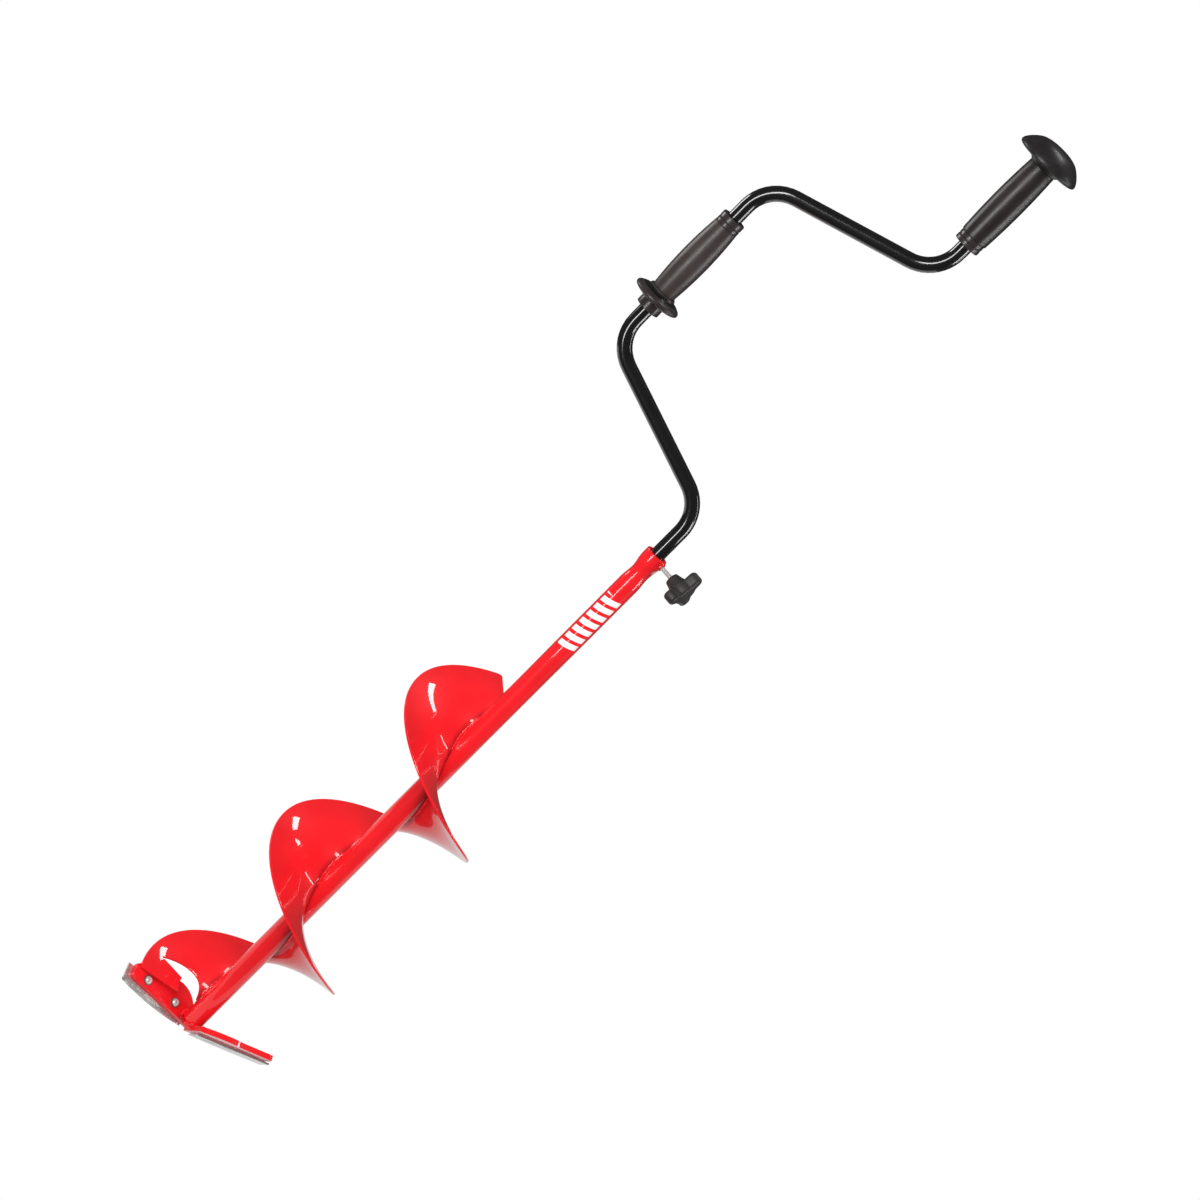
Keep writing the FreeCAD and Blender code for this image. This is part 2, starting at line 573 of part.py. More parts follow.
# ---------------------------------------------------------------- clamp screw
def make_clamp_screw():
    """Threaded stud with a brass pad at its tip and a three-lobed knob moulded on a brass insert."""
    pad = primitive("Cylinder", "ClampPad", clamp_frame("@PadFoot"), Radius="@PadRadius",
                    Height="@StudFoot - @PadFoot - @Gap / 2")
    subpart(pad, "clamp_pad")
    stud = primitive("Cylinder", "ClampStud", clamp_frame("@StudFoot"), Radius="@StudRadius",
                     Height="@StudEnd - @StudFoot")
    subpart(stud, "clamp_stud")
    insert = primitive("Cylinder", "InsertBlank", clamp_frame("@KnobFoot"), Radius="@InsertRadius",
                       Height="@InsertEnd - @KnobFoot")
    thread = primitive("Cylinder", "InsertThread", clamp_frame("@KnobFoot - @Overshoot"),
                       Radius="@StudRadius", Height="@StudEnd - @KnobFoot + @Overshoot")
    subpart(cut("KnobInsert", insert, thread), "knob_insert")

    hub = primitive("Cylinder", "KnobHub", clamp_frame("@KnobFoot"), Radius="@KnobHubRadius",
                    Height="@KnobEnd - @KnobFoot")
    core = primitive("Cylinder", "KnobCore", clamp_frame("@KnobHeadFoot"), Radius="@KnobCoreRadius",
                     Height="@KnobEnd - @KnobHeadFoot")
    lobes = []
    for number in range(3):
        spin = FreeCAD.Rotation(UP, value("@LobeTurn") + 180 + 120 * number)
        offset = spin.multVec(ACROSS * value("@LobeReach"))
        frame = clamp_frame("@KnobHeadFoot")
        place = FreeCAD.Placement(frame.Base + frame.Rotation.multVec(offset), frame.Rotation)
        lobes.append(primitive("Cylinder", f"KnobLobe{number}", place, Radius="@LobeRadius",
                               Height="@KnobEnd - @KnobHeadFoot"))
    socket = primitive("Cylinder", "KnobSocket", clamp_frame("@KnobFoot - @Overshoot"),
                       Radius="@InsertRadius", Height="@InsertEnd - @KnobFoot + @Overshoot")
    subpart(cut("ClampKnob", fuse("KnobMoulding", hub, core, *lobes), socket), "clamp_knob")


# ---------------------------------------------------------------- grips
def sleeve(bore, outer, foot, top, bow=None):
    """Half-section of a sleeve, with an outer face that is straight or bowed."""
    side = (outer, foot, bow) if bow else (outer, foot)
    return [(bore, foot), side, (outer, top), (bore, top)]


def retainers(name, label, across, low, high):
    """Two push-on rings on the handle tube, which hold a turning grip between them."""
    rings = [turned(f"{name}{place}", sleeve("@CrankRadius", "@RetainerRadius", foot,
                                             f"{foot} + @RetainerThickness"), across)
             for place, foot in (("Low", low), ("High", high))]
    subpart(group(name, *rings), label)


def make_middle_grip():
    """Turning grip on the offset run of the handle tube, with a guard disc at its lower end."""
    across = "-@CrankOffset"
    recess = "@RecessDepth"
    retainers("MidRetainers", "mid_grip_retainers", across, "@MidFoot + @Gap",
              "@MidEnd - @Gap - @RetainerThickness")
    liner_foot, liner_top = f"@MidFoot + {recess}", f"@MidEnd - {recess}"
    subpart(turned("MidLiner", sleeve("@TurningBore", "@LinerRadius", liner_foot, liner_top), across),
            "mid_grip_liner")
    subpart(turned("MidHub", [
        ("@RecessRadius", "@MidFoot"), ("@EndRingRadius", "@MidFoot"), ("@EndRingRadius", "@DiscFoot"),
        ("@LinerRadius", "@DiscFoot"), ("@LinerRadius", liner_foot), ("@RecessRadius", liner_foot),
    ], across), "mid_grip_hub")
    subpart(turned("GuardDisc", [
        ("@LinerRadius", "@DiscFoot"), ("@EndRingRadius + @DiscFillet", "@DiscFoot"),
        ("@DiscRadius - @DiscEdge / 2", "@DiscRim - @DiscEdge / 2", "@DiscEdge / 2 - @BowSlack"),
        ("@DiscRadius - @DiscEdge / 2", "@DiscRim + @DiscEdge / 2"),
        ("@GripEndRadius + @DiscStep", "@DiscTop"), ("@LinerRadius", "@DiscTop"),
    ], across), "guard_disc")
    subpart(turned("MidGrip", sleeve("@LinerRadius", "@GripEndRadius", "@DiscTop", "@MidGripTop",
                                     "@GripBulge"), across), "mid_grip_sleeve")
    subpart(turned("MidEndRing", [
        ("@LinerRadius", "@MidGripTop"), ("@EndRingRadius", "@MidGripTop"),
        ("@EndRingRadius", "@MidEnd"), ("@RecessRadius", "@MidEnd"),
        ("@RecessRadius", liner_top), ("@LinerRadius", liner_top),
    ], across), "mid_grip_end_ring")


def make_top_handle():
    """Turning top grip in line with the drill, crowned by a mushroom-shaped palm cap."""
    recess_top = "@TopFoot + @RecessDepth"
    retainers("TopRetainers", "top_grip_retainers", "0", "@TopFoot + @Gap", "@CrankTop - @TopRetainerDrop")
    liner_top = "@CrankTop - @RecessDepth"
    subpart(turned("TopLiner", sleeve("@TurningBore", "@LinerRadius", recess_top, liner_top)),
            "top_grip_liner")
    subpart(turned("TopEndRing", [
        ("@RecessRadius", "@TopFoot"), ("@TopRingRadius", "@TopFoot"), ("@TopRingRadius", "@TopGripFoot"),
        ("@LinerRadius", "@TopGripFoot"), ("@LinerRadius", recess_top), ("@RecessRadius", recess_top),
    ]), "top_grip_end_ring")
    subpart(turned("TopGrip", sleeve("@LinerRadius", "@TopGripRadius", "@TopGripFoot", "@TopGripTop",
                                     "@TopGripBulge")), "top_grip_sleeve")
    subpart(turned("PalmCap", [
        ("@LinerRadius", "@TopGripTop"), ("@CapShoulder", "@TopGripTop"),
        ("@CapShoulder + @CapFlare", "@CapRim - @CapEdge / 2 - @CapStep"),
        ("@CapRadius - @CapEdge / 2", "@CapRim - @CapEdge / 2", "@CapEdgeBow"),
        ("@CapRadius - @CapStep", "@CapRim + @CapEdge / 2", "@CapDome"),
        ("@CapCrown", "@CapTop - @CapCrownDrop"), ("0", "@CapTop"), ("0", "@CrankTop + @CapBore"),
        ("@RecessRadius", "@CrankTop + @CapBore"), ("@RecessRadius", liner_top), ("@LinerRadius", liner_top),
    ]), "palm_cap")


def export():
    """Check every object and sub-part, then write one STEP file for each sub-part."""
    doc.recompute()
    for item in doc.Objects:
        failed = {"Invalid", "Error"}.intersection(item.State)
        if failed:
            raise RuntimeError(f"{item.Name} is {sorted(failed)}")
    os.makedirs("parts", exist_ok=True)
    labels = [item.Label for item in subparts]
    if len(set(labels)) != len(labels):
        raise RuntimeError("two sub-parts share a label")
    for item in subparts:
        if item.Shape.isNull() or not item.Shape.isValid() or item.Shape.Volume <= 0:
            raise RuntimeError(f"{item.Label} has no valid solid")
    for item in subparts:
        item.Shape.exportStep(f"parts/{item.Label}.step")
        print(f"{item.Label:22s} {len(item.Shape.Solids):2d} solid(s) {item.Shape.Volume:10.1f} mm3")


make_drill_tube()
make_tube_end_plug()
make_guide_bush()
make_clamp_boss()
make_flight()
make_cutter_seats()
make_cutters()
make_cutter_fasteners()
make_crank_tube()
make_glide()
make_clamp_screw()
make_middle_grip()
make_top_handle()
export()
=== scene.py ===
"""Looks of the hand ice auger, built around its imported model.

The drill stands upright on the origin, its handle cranked towards -X and its clamp knob on the
+X side. Coordinates are in metres; the sizes that the sub-assemblies hold are in millimetres and
degrees.
"""
import logging
import math
from dataclasses import dataclass, field
from enum import Enum
from typing import Callable, Dict, List, Mapping, Optional, Sequence, Tuple, Union

import bmesh
import bpy
from mathutils import Matrix, Vector


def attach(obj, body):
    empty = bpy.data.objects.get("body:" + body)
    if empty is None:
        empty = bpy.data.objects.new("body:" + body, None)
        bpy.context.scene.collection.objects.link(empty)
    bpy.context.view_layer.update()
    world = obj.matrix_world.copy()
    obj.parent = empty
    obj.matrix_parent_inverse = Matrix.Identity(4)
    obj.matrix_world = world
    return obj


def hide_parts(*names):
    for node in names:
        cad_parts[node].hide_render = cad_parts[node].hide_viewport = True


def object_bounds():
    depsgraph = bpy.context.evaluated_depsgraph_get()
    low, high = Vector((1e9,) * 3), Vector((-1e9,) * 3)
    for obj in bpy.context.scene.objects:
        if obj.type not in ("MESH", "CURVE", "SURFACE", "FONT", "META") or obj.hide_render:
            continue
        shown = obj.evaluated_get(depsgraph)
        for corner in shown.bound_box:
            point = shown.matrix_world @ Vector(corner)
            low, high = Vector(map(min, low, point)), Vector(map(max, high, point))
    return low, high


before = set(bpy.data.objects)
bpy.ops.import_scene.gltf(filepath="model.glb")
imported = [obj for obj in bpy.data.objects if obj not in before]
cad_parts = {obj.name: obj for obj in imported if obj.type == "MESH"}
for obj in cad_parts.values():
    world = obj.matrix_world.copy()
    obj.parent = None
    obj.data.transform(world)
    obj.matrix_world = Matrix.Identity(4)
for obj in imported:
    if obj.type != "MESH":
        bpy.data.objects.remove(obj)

LOG = logging.getLogger("ice_auger")
MM = 0.001
MERGE, CAD_MERGE, THREAD_MERGE = 0.002, 0.004, 0.01      # how near doubles lie, in mm
SHEET_CREASE, HARDWARE_CREASE, CREASE, KNOB_CREASE, THREAD_CREASE, WELD_CREASE = 32, 35, 40, 50, 60, 70
ROUND_STEPS = 5
WHITE = (1, 1, 1, 1)
CAD_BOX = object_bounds()
Point = Tuple[float, float]
Colour = Tuple[float, float, float, float]
Section = Sequence[Tuple[float, ...]]       # corners as radius, height and, where rounded, rounding
Shape = bmesh.types.BMesh
Sockets = Mapping[Union[str, int], object]


class Body(str, Enum):
    """The rigid bodies that the pieces ride on."""

    AUGER = "auger"
    CRANK = "crank"
    CLAMP_SCREW = "clamp_screw"
    MIDDLE_GRIP = "middle_grip"
    TOP_HANDLE = "top_handle"


class Slot(str, Enum):
    """The record's material slots."""

    RED = "red_enamel"
    BLACK = "black_enamel"
    BLADE = "blade_steel"
    ZINC = "zinc_steel"
    BRASS = "brass"
    RUBBER = "grip_rubber"
    CAP = "cap_plastic"
    BLACK_PLASTIC = "black_plastic"
    PALE_PLASTIC = "pale_plastic"


# ---- shader maths
class Signal:
    """A shader socket that Python's operators can work on."""

    def __init__(self, tree: "ShaderTree", socket: bpy.types.NodeSocket) -> None:
        """Wrap one output socket of a tree."""
        self.tree = tree
        self.socket = socket

    def math(self, operation: str, *others: "Number", swap: bool = False) -> "Signal":
        """Add a Math node that takes this socket and the others.

        Args:
            operation: the Math node's operation.
            others: the other operands.
            swap: put this socket second.

        Returns:
            The node's output.
        """
        operands: List["Number"] = [*others, self] if swap else [self, *others]
        node = self.tree.add("Math", {"operation": operation}, dict(enumerate(operands)))
        return Signal(self.tree, node.outputs[0])

    def __add__(self, other: "Number") -> "Signal":
        """Sum."""
        return self.math("ADD", other)

    __radd__ = __add__

    def __sub__(self, other: "Number") -> "Signal":
        """Difference."""
        return self.math("SUBTRACT", other)

    def __rsub__(self, other: "Number") -> "Signal":
        """Difference from a number."""
        return self.math("SUBTRACT", other, swap=True)

    def __mul__(self, other: "Number") -> "Signal":
        """Product."""
        return self.math("MULTIPLY", other)

    __rmul__ = __mul__

    def __pow__(self, other: "Number") -> "Signal":
        """Power."""
        return self.math("POWER", other)

    def __abs__(self) -> "Signal":
        """Size without the sign."""
        return self.math("ABSOLUTE")

    def wrapped(self, period: float) -> "Signal":
        """Place within a repeating period, from 0 up to it."""
        return self.math("MODULO", period)

    def most(self, other: "Number") -> "Signal":
        """The larger of two."""
        return self.math("MAXIMUM", other)

    def ramp(self, low: float, high: float) -> "Signal":
        """Smooth step from 0 at low to 1 at high, or down where low is above high."""
        node = self.tree.add("MapRange", {"interpolation_type": "SMOOTHSTEP"},
                             {"Value": self, "From Min": low, "From Max": high})
        return Signal(self.tree, node.outputs["Result"])


Number = Union[float, Signal]


class ShaderTree:
    """The node tree of a material or of the world, built one node at a time."""

    def __init__(self, owner: Union[bpy.types.Material, bpy.types.World]) -> None:
        """Empty the owner's tree, to build it anew."""
        self.owner = owner
        owner.use_nodes = True
        self.nodes = owner.node_tree.nodes
        self.links = owner.node_tree.links
        self.nodes.clear()

    def add(self, kind: str, settings: Optional[Mapping[str, object]] = None,
            inputs: Optional[Sockets] = None) -> bpy.types.Node:
        """Add a node, set it up, and fill its sockets.

        Args:
            kind: the node's type, without its ShaderNode prefix.
            settings: properties of the node, set before its sockets.
            inputs: a value or a Signal for each socket that needs one.

        Returns:
            The node.
        """
        node = self.nodes.new("ShaderNode" + kind)
        for name, setting in (settings or {}).items():
            setattr(node, name, setting)
        for key, value in (inputs or {}).items():
            if isinstance(value, Signal):
                self.links.new(value.socket, node.inputs[key])
            else:
                node.inputs[key].default_value = value
        return node

    def out(self, node: bpy.types.Node, socket: Union[str, int] = 0) -> Signal:
        """One output of a node."""
        return Signal(self, node.outputs[socket])

    def place(self, scale: Sequence[float] = (1, 1, 1), turn: Sequence[float] = (0, 0, 0)) -> Signal:
        """Object coordinates, turned and stretched.

        Args:
            scale: stretch along each axis after the turn.
            turn: turn about each axis, in radians.

        Returns:
            The vector.
        """
        spot = self.out(self.add("TexCoord"), "Object")
        return self.out(self.add("Mapping", {"vector_type": "TEXTURE"}, {
            "Vector": spot, "Rotation": tuple(turn), "Scale": tuple(1 / part for part in scale)}))

    def axes(self, vector: Signal) -> Tuple[Signal, Signal, Signal]:
        """A vector's three parts."""
        node = self.add("SeparateXYZ", {}, {0: vector})
        return self.out(node, 0), self.out(node, 1), self.out(node, 2)

    def noise(self, vector: Signal, scale: float, detail: float = 2.0, roughness: float = 0.5) -> Signal:
        """Noise from 0 to 1, with a scale in waves per metre."""
        return self.out(self.add("TexNoise", {}, {"Vector": vector, "Scale": scale, "Detail": detail,
                                                  "Roughness": roughness}), 0)

    def cells(self, vector: Signal, scale: float) -> Signal:
        """Distance to the nearest of many scattered points."""
        return self.out(self.add("TexVoronoi", {}, {"Vector": vector, "Scale": scale}), "Distance")

    def mix(self, factor: Number, low: object, high: object) -> Signal:
        """Blend two colours."""
        node = self.add("Mix", {"data_type": "RGBA"}, {"Factor": factor})
        for socket, value in ((node.inputs[6], low), (node.inputs[7], high)):
            if isinstance(value, Signal):
                self.links.new(value.socket, socket)
            else:
                socket.default_value = value
        return self.out(node, 2)

    def bump(self, height: Signal, depth: float) -> Signal:
        """Relief of a depth in metres."""
        return self.out(self.add("Bump", {}, {"Height": height, "Distance": depth, "Strength": 1.0}))

    def finish(self, surface: Sockets) -> bpy.types.Material:
        """Close the tree with its Principled shader and return the material."""
        shader = self.add("BsdfPrincipled", {}, surface)
        self.add("OutputMaterial", {}, {"Surface": self.out(shader)})
        return self.owner


# ---- finishes
@dataclass(frozen=True)
class Finish:
    """What every finish has: its name and the record's slot that it fills."""

    name: str
    slot: Slot

    def tree(self) -> ShaderTree:
        """An empty tree in a new material."""
        return ShaderTree(bpy.data.materials.new(self.name))

    def make(self) -> bpy.types.Material:
        """Build the material."""
        raise NotImplementedError(self.name)


@dataclass(frozen=True)
class Enamel(Finish):
    """Glossy sprayed enamel with a fine orange peel."""

    colour: Colour
    deep: Colour
    roughness: float = 0.4
    coat_roughness: float = 0.035
    specular: float = 0.15
    peel: float = 0.00002
    peel_waves: float = 420.0
    drift_waves: float = 22.0
    speck_waves: float = 900.0
    mark: Optional[Callable[[ShaderTree], Signal]] = None
    # shade is a mask of painted shade, and shade_colour is the dark red that it paints in
    shade: Optional[Callable[[ShaderTree], Signal]] = None
    shade_colour: Colour = (0.10, 0.002, 0.004, 1)
    mark_colour: Colour = (0.9, 0.9, 0.88, 1)

    def make(self) -> bpy.types.Material:
        """Build the material."""
        tree = self.tree()
        spot = tree.place()
        peel = tree.noise(spot, self.peel_waves, 2.0, 0.4)
        drift = tree.noise(spot, self.drift_waves, 3.0).ramp(0.3, 0.75)
        speck = tree.cells(spot, self.speck_waves).ramp(0.16, 0.05) * tree.noise(spot, 60.0).ramp(0.55, 0.7)
        colour = tree.mix(drift * 0.55, self.colour, self.deep)
        roughness = tree.noise(spot, 130.0) * 0.08 + (self.roughness - 0.04) + speck * 0.15
        # painted shade mixed into the colour
        if self.shade is not None:
            colour = tree.mix(self.shade(tree), colour, self.shade_colour)
        if self.mark is not None:
            printed = self.mark(tree)
            colour = tree.mix(printed, colour, self.mark_colour)
            roughness = roughness + printed * 0.12
        return tree.finish({"Base Color": colour, "Roughness": roughness,
                            "Normal": tree.bump(peel, self.peel), "Specular IOR Level": self.specular,
                            "Coat Weight": 1.0, "Coat Roughness": self.coat_roughness})


@dataclass(frozen=True)
class GroundSteel(Finish):
    """Bright hardened steel with straight grinding marks."""

    turn: Tuple[float, float, float] = (0, 0, 0)
    colour: Colour = (0.78, 0.77, 0.75, 1)
    dark: Colour = (0.16, 0.155, 0.155, 1)
    metal: float = 0.78
    depth: float = 0.00002
    line_waves: float = 2600.0
    band_waves: float = 160.0
    stain_waves: float = 75.0

    def make(self) -> bpy.types.Material:
        """Build the material."""
        tree = self.tree()
        grain = tree.place(turn=self.turn, scale=(0.04, 1.0, 1.0))
        lines = tree.noise(grain, self.line_waves, 4.0, 0.65)
        bands = tree.noise(grain, self.band_waves, 3.0, 0.6).ramp(0.38, 0.62)
        stain = tree.noise(tree.place(), self.stain_waves, 4.0, 0.6).ramp(0.52, 0.7)
        colour = tree.mix(bands * 0.3 + stain * 0.2, self.colour, self.dark)
        return tree.finish({"Base Color": colour, "Metallic": self.metal,
                            "Roughness": lines * 0.2 + 0.16 + stain * 0.12,
                            "Normal": tree.bump(lines, self.depth)})


@dataclass(frozen=True)
class PlatedSteel(Finish):
    """Plated small hardware with a faint bloom and scuffs."""

    colour: Colour
    bloom: Colour
    roughness: float = 0.28
    metal: float = 0.55
    depth: float = 0.00001
    cloud_waves: float = 240.0
    scuff_waves: float = 1900.0

    def make(self) -> bpy.types.Material:
        """Build the material."""
        tree = self.tree()
        spot = tree.place()
        cloud = tree.noise(spot, self.cloud_waves, 4.0, 0.6).ramp(0.4, 0.7)
        scuff = tree.noise(tree.place(scale=(1.0, 0.1, 1.0)), self.scuff_waves, 2.0)
        colour = tree.mix(cloud * 0.5, self.colour, self.bloom)
        return tree.finish({"Base Color": colour, "Metallic": self.metal,
                            "Roughness": scuff * 0.16 + cloud * 0.08 + self.roughness - 0.08,
                            "Normal": tree.bump(scuff, self.depth)})


@dataclass(frozen=True)
class Moulded(Finish):
    """Moulded plastic or rubber: fine spark grain, flow clouding and light handling marks."""

    colour: Colour
    worn: Colour
    roughness: float
    grain: float = 1500.0
    depth: float = 0.00003
    stretch: Tuple[float, float, float] = (1.0, 1.0, 1.0)
    cloud_waves: float = 35.0
    scuff_waves: float = 420.0

    def make(self) -> bpy.types.Material:
        """Build the material."""
        tree = self.tree()
        spot = tree.place()
        grain = tree.noise(tree.place(scale=self.stretch), self.grain, 3.0, 0.6)
        cloud = tree.noise(spot, self.cloud_waves, 4.0, 0.6).ramp(0.35, 0.7)
        scuff = tree.noise(tree.place(scale=(1.0, 1.0, 0.15)), self.scuff_waves, 3.0, 0.7).ramp(0.58, 0.72)
        colour = tree.mix(cloud * 0.5 + scuff * 0.3, self.colour, self.worn)
        roughness = grain * 0.14 + cloud * 0.05 + self.roughness - 0.08
        return tree.finish({"Base Color": colour, "Roughness": roughness,
                            "Normal": tree.bump(grain, self.depth)})


def printed_mark(tree: ShaderTree) -> Signal:
    """Mask of the white strokes printed on the drill tube.

    Args:
        tree: the tree that the mask is made in.

    Returns:
        1 on the strokes and 0 elsewhere.
    """
    low, high, pitch, slant, fade = 0.582, 0.656, 0.0104, 0.30, 0.0003
    thick, thin = pitch * 0.34, pitch * 0.27
    across, depth, height = tree.axes(tree.place())
    lean = height - across * slant
    stroke = abs((lean - low).wrapped(pitch) - pitch / 2).ramp(thick, thin)
    span = height.ramp(low - fade, low) * height.ramp(high + fade, high)
    front = depth.ramp(-0.0035, -0.0045)
    edge = abs(across).ramp(0.0094, 0.0088)
    return stroke * span * front * edge


def painted_shade_under_flight(tree: ShaderTree) -> Signal:
    """Mask of shade painted on the tube just under the flight's root, with fainter painted shade in the
    crease just above the flight.

    Args:
        tree: the tree that the mask is made in.

    Returns:
        Near 1 against the flight's lower face, fading to 0 further down.
    """
    foot, pitch, foot_angle, low, high = 0.0258, 0.203, 210.0, 0.03, 0.49
    faint, full, root, past_root = 0.80, 0.985, 0.9990, 0.9995      # shares of one climb of the flight
    crease_shade_end, crease_shade_start, waves = 0.022, 0.014, 90.0
    across, depth, height = tree.axes(tree.place())
    turn = depth.math("ARCTAN2", across) * (1 / math.tau)
    climbed = ((height - foot) * (1 / pitch) + turn + (3 - foot_angle / 360)).wrapped(1.0)
    # painted shade: a band under the flight's lower face and a fainter one in the crease above it, made
    # uneven by noise
    band = climbed.ramp(faint, full) * climbed.ramp(past_root, root)
    crease_shade = climbed.ramp(crease_shade_end, crease_shade_start) * 0.6
    uneven = tree.noise(tree.place(), waves, 3.0).ramp(0.2, 0.6) * 0.25 + 0.75
    span = height.ramp(low, low + 0.01) * height.ramp(high, high - 0.002)
    return (band * 0.85).most(crease_shade) * uneven * span


def painted_root_shade(tree: ShaderTree) -> Signal:
    """Mask of shade painted on the flight near its root.

    Args:
        tree: the tree that the mask is made in.

    Returns:
        Strongest at the root, fading to 0 outward.
    """
    across, depth, _ = tree.axes(tree.place())
    clear, root, strength = 0.021, 0.0115, 0.6
    radius = (across * across + depth * depth) ** 0.5
    # painted shade, darkest at the root
    return radius.ramp(clear, root) * strength


RED = Enamel("red_enamel", Slot.RED, (0.84, 0.010, 0.016, 1), (0.68, 0.006, 0.011, 1))
# red enamel with the printed mark and with painted shade on the tube along the flight's root
RED_PRINTED_SHADED = Enamel("red_enamel_printed_shaded", RED.slot, RED.colour, RED.deep, mark=printed_mark,
                     shade=painted_shade_under_flight)
# red enamel with painted shade on the flight near its root
RED_FLIGHT_SHADED = Enamel("red_enamel_flight_shaded", RED.slot, RED.colour, RED.deep, shade=painted_root_shade)
GLOSS_BLACK = Enamel("gloss_black", Slot.BLACK, (0.006, 0.0055, 0.006, 1), (0.010, 0.009, 0.009, 1),
                     roughness=0.2, coat_roughness=0.03, specular=0.5, peel=0.000012)
BLADE = GroundSteel("ground_blade_steel", Slot.BLADE, turn=(0, 0, math.radians(33)))
ZINC = PlatedSteel("bright_zinc", Slot.ZINC, (0.72, 0.71, 0.68, 1), (0.50, 0.50, 0.50, 1))
DARK_ZINC = PlatedSteel("washer_zinc", Slot.ZINC, (0.16, 0.15, 0.15, 1), (0.08, 0.08, 0.08, 1), 0.4)
BRASS = PlatedSteel("turned_brass", Slot.BRASS, (0.72, 0.50, 0.20, 1), (0.50, 0.33, 0.13, 1))
GRIP_RUBBER = Moulded("grip_rubber", Slot.RUBBER, (0.016, 0.0125, 0.012, 1), (0.028, 0.0225, 0.021, 1),
                      0.34, grain=800.0, depth=0.00006, stretch=(1.0, 1.0, 0.06))
MID_RUBBER = Moulded("middle_grip_rubber", Slot.RUBBER, (0.034, 0.025, 0.023, 1),
                     (0.052, 0.040, 0.036, 1), 0.36, grain=800.0, depth=0.00006,
                     stretch=(1.0, 1.0, 0.06))
CAP_PLASTIC = Moulded("palm_cap_plastic", Slot.CAP, (0.012, 0.0105, 0.0105, 1),
                      (0.03, 0.027, 0.027, 1), 0.34, grain=1100.0, depth=0.00004)
KNOB_PLASTIC = Moulded("knob_plastic", Slot.BLACK_PLASTIC, (0.020, 0.0165, 0.0165, 1),
                       (0.042, 0.036, 0.035, 1), 0.46)
DISC_PLASTIC = Moulded("guard_disc_plastic", Slot.BLACK_PLASTIC, (0.026, 0.021, 0.020, 1),
                       (0.045, 0.038, 0.036, 1), 0.33)
RING_PLASTIC = Moulded("end_ring_plastic", Slot.BLACK_PLASTIC, (0.024, 0.019, 0.018, 1),
                       (0.040, 0.033, 0.031, 1), 0.26, depth=0.00001)
BLACK_PLASTIC = Moulded("black_plastic", Slot.BLACK_PLASTIC, (0.006, 0.0055, 0.0055, 1),
                        (0.012, 0.011, 0.011, 1), 0.30, depth=0.00002)
NYLON = Moulded("natural_nylon", Slot.PALE_PLASTIC, (0.62, 0.60, 0.52, 1), (0.70, 0.68, 0.60, 1), 0.4)


# ---- making and dressing
def outlined(points: Sequence[Point], closed: bool) -> Shape:
    """Draw a bare outline.

    Args:
        points: radius and height of each point.
        closed: join the last point to the first.

    Returns:
        The outline.
    """
    shape = bmesh.new()
    verts = [shape.verts.new((radius * MM, 0, height * MM)) for radius, height in points]
    for start, end in zip(verts, verts[1:] + (verts[:1] if closed else [])):
        shape.edges.new((start, end))
    return shape


def rounded(shape: Shape, geom: Sequence[object], offset: float, steps: int = ROUND_STEPS,
            affect: str = "EDGES", clamp: bool = False) -> None:
    """Round some edges or corners of a shape."""
    bmesh.ops.bevel(shape, geom=geom, offset=offset * MM, offset_type="OFFSET", affect=affect,
                    segments=steps, profile=0.5, material=-1, clamp_overlap=clamp)


def spun(shape: Shape, angle: float, steps: int, climb: float = 0.0, merge: bool = False) -> None:
    """Spin a shape about the vertical axis by an angle in radians, climbing with each step."""
    bmesh.ops.spin(shape, geom=shape.verts[:] + shape.edges[:], cent=(0, 0, 0), axis=(0, 0, 1), angle=angle,
                   steps=steps, dvec=(0, 0, climb * MM), use_merge=merge)


def turned(corners: Section, closed: bool = True, steps: int = 96,
           bows: Sequence[Tuple[float, float, float]] = ()) -> Shape:
    """Spin a section about the vertical axis.

    Args:
        corners: the section's corners in order.
        closed: join the last corner to the first.
        steps: facets round the axis.
        bows: (lowest height, highest height, bulge) of outer faces that bow outward.

    Returns:
        The solid, standing on the origin.
    """
    shape = outlined([corner[:2] for corner in corners], closed)
    for point, corner in zip(shape.verts[:], corners):
        for rounding in corner[2:]:
            rounded(shape, [point], rounding, affect="VERTICES")
    for low, high, bulge in bows:
        bow_out(shape, low, high, bulge)
    spun(shape, math.tau, steps, merge=True)
    return settled(shape)


def open_edges(shape: Shape) -> List[bmesh.types.BMEdge]:
    """The edges that have a face on one side only."""
    return [edge for edge in shape.edges if edge.is_boundary]


def bow_out(shape: Shape, low: float, high: float, bulge: float) -> None:
    """Divide a section's outermost run between two heights and bow it outward.

    Args:
        shape: the section.
        low: the run's lowest height.
        high: its highest.
        bulge: how far its middle moves out.
    """
    runs = [edge for edge in shape.edges
            if abs(edge.verts[0].co.z - edge.verts[1].co.z) > (high - low) * 0.6 * MM
            and min(vert.co.z for vert in edge.verts) > (low - 1) * MM
            and max(vert.co.z for vert in edge.verts) < (high + 1) * MM]
    outermost = max(runs, key=lambda edge: edge.verts[0].co.x)
    bmesh.ops.subdivide_edges(shape, edges=[outermost], cuts=20)
    limit = outermost.verts[0].co.x
    for vert in shape.verts:
        share = (vert.co.z / MM - (low + high) / 2) / ((high - low) / 2)
        if abs(share) < 1 and vert.co.x > limit - 0.1 * MM:
            vert.co.x += bulge * MM * (1 - share * share)


def settled(shape: Shape) -> Shape:
    """Merge a shape's doubles and turn its faces outward."""
    bmesh.ops.remove_doubles(shape, verts=shape.verts[:], dist=MERGE * MM)
    bmesh.ops.recalc_face_normals(shape, faces=shape.faces[:])
    return shape


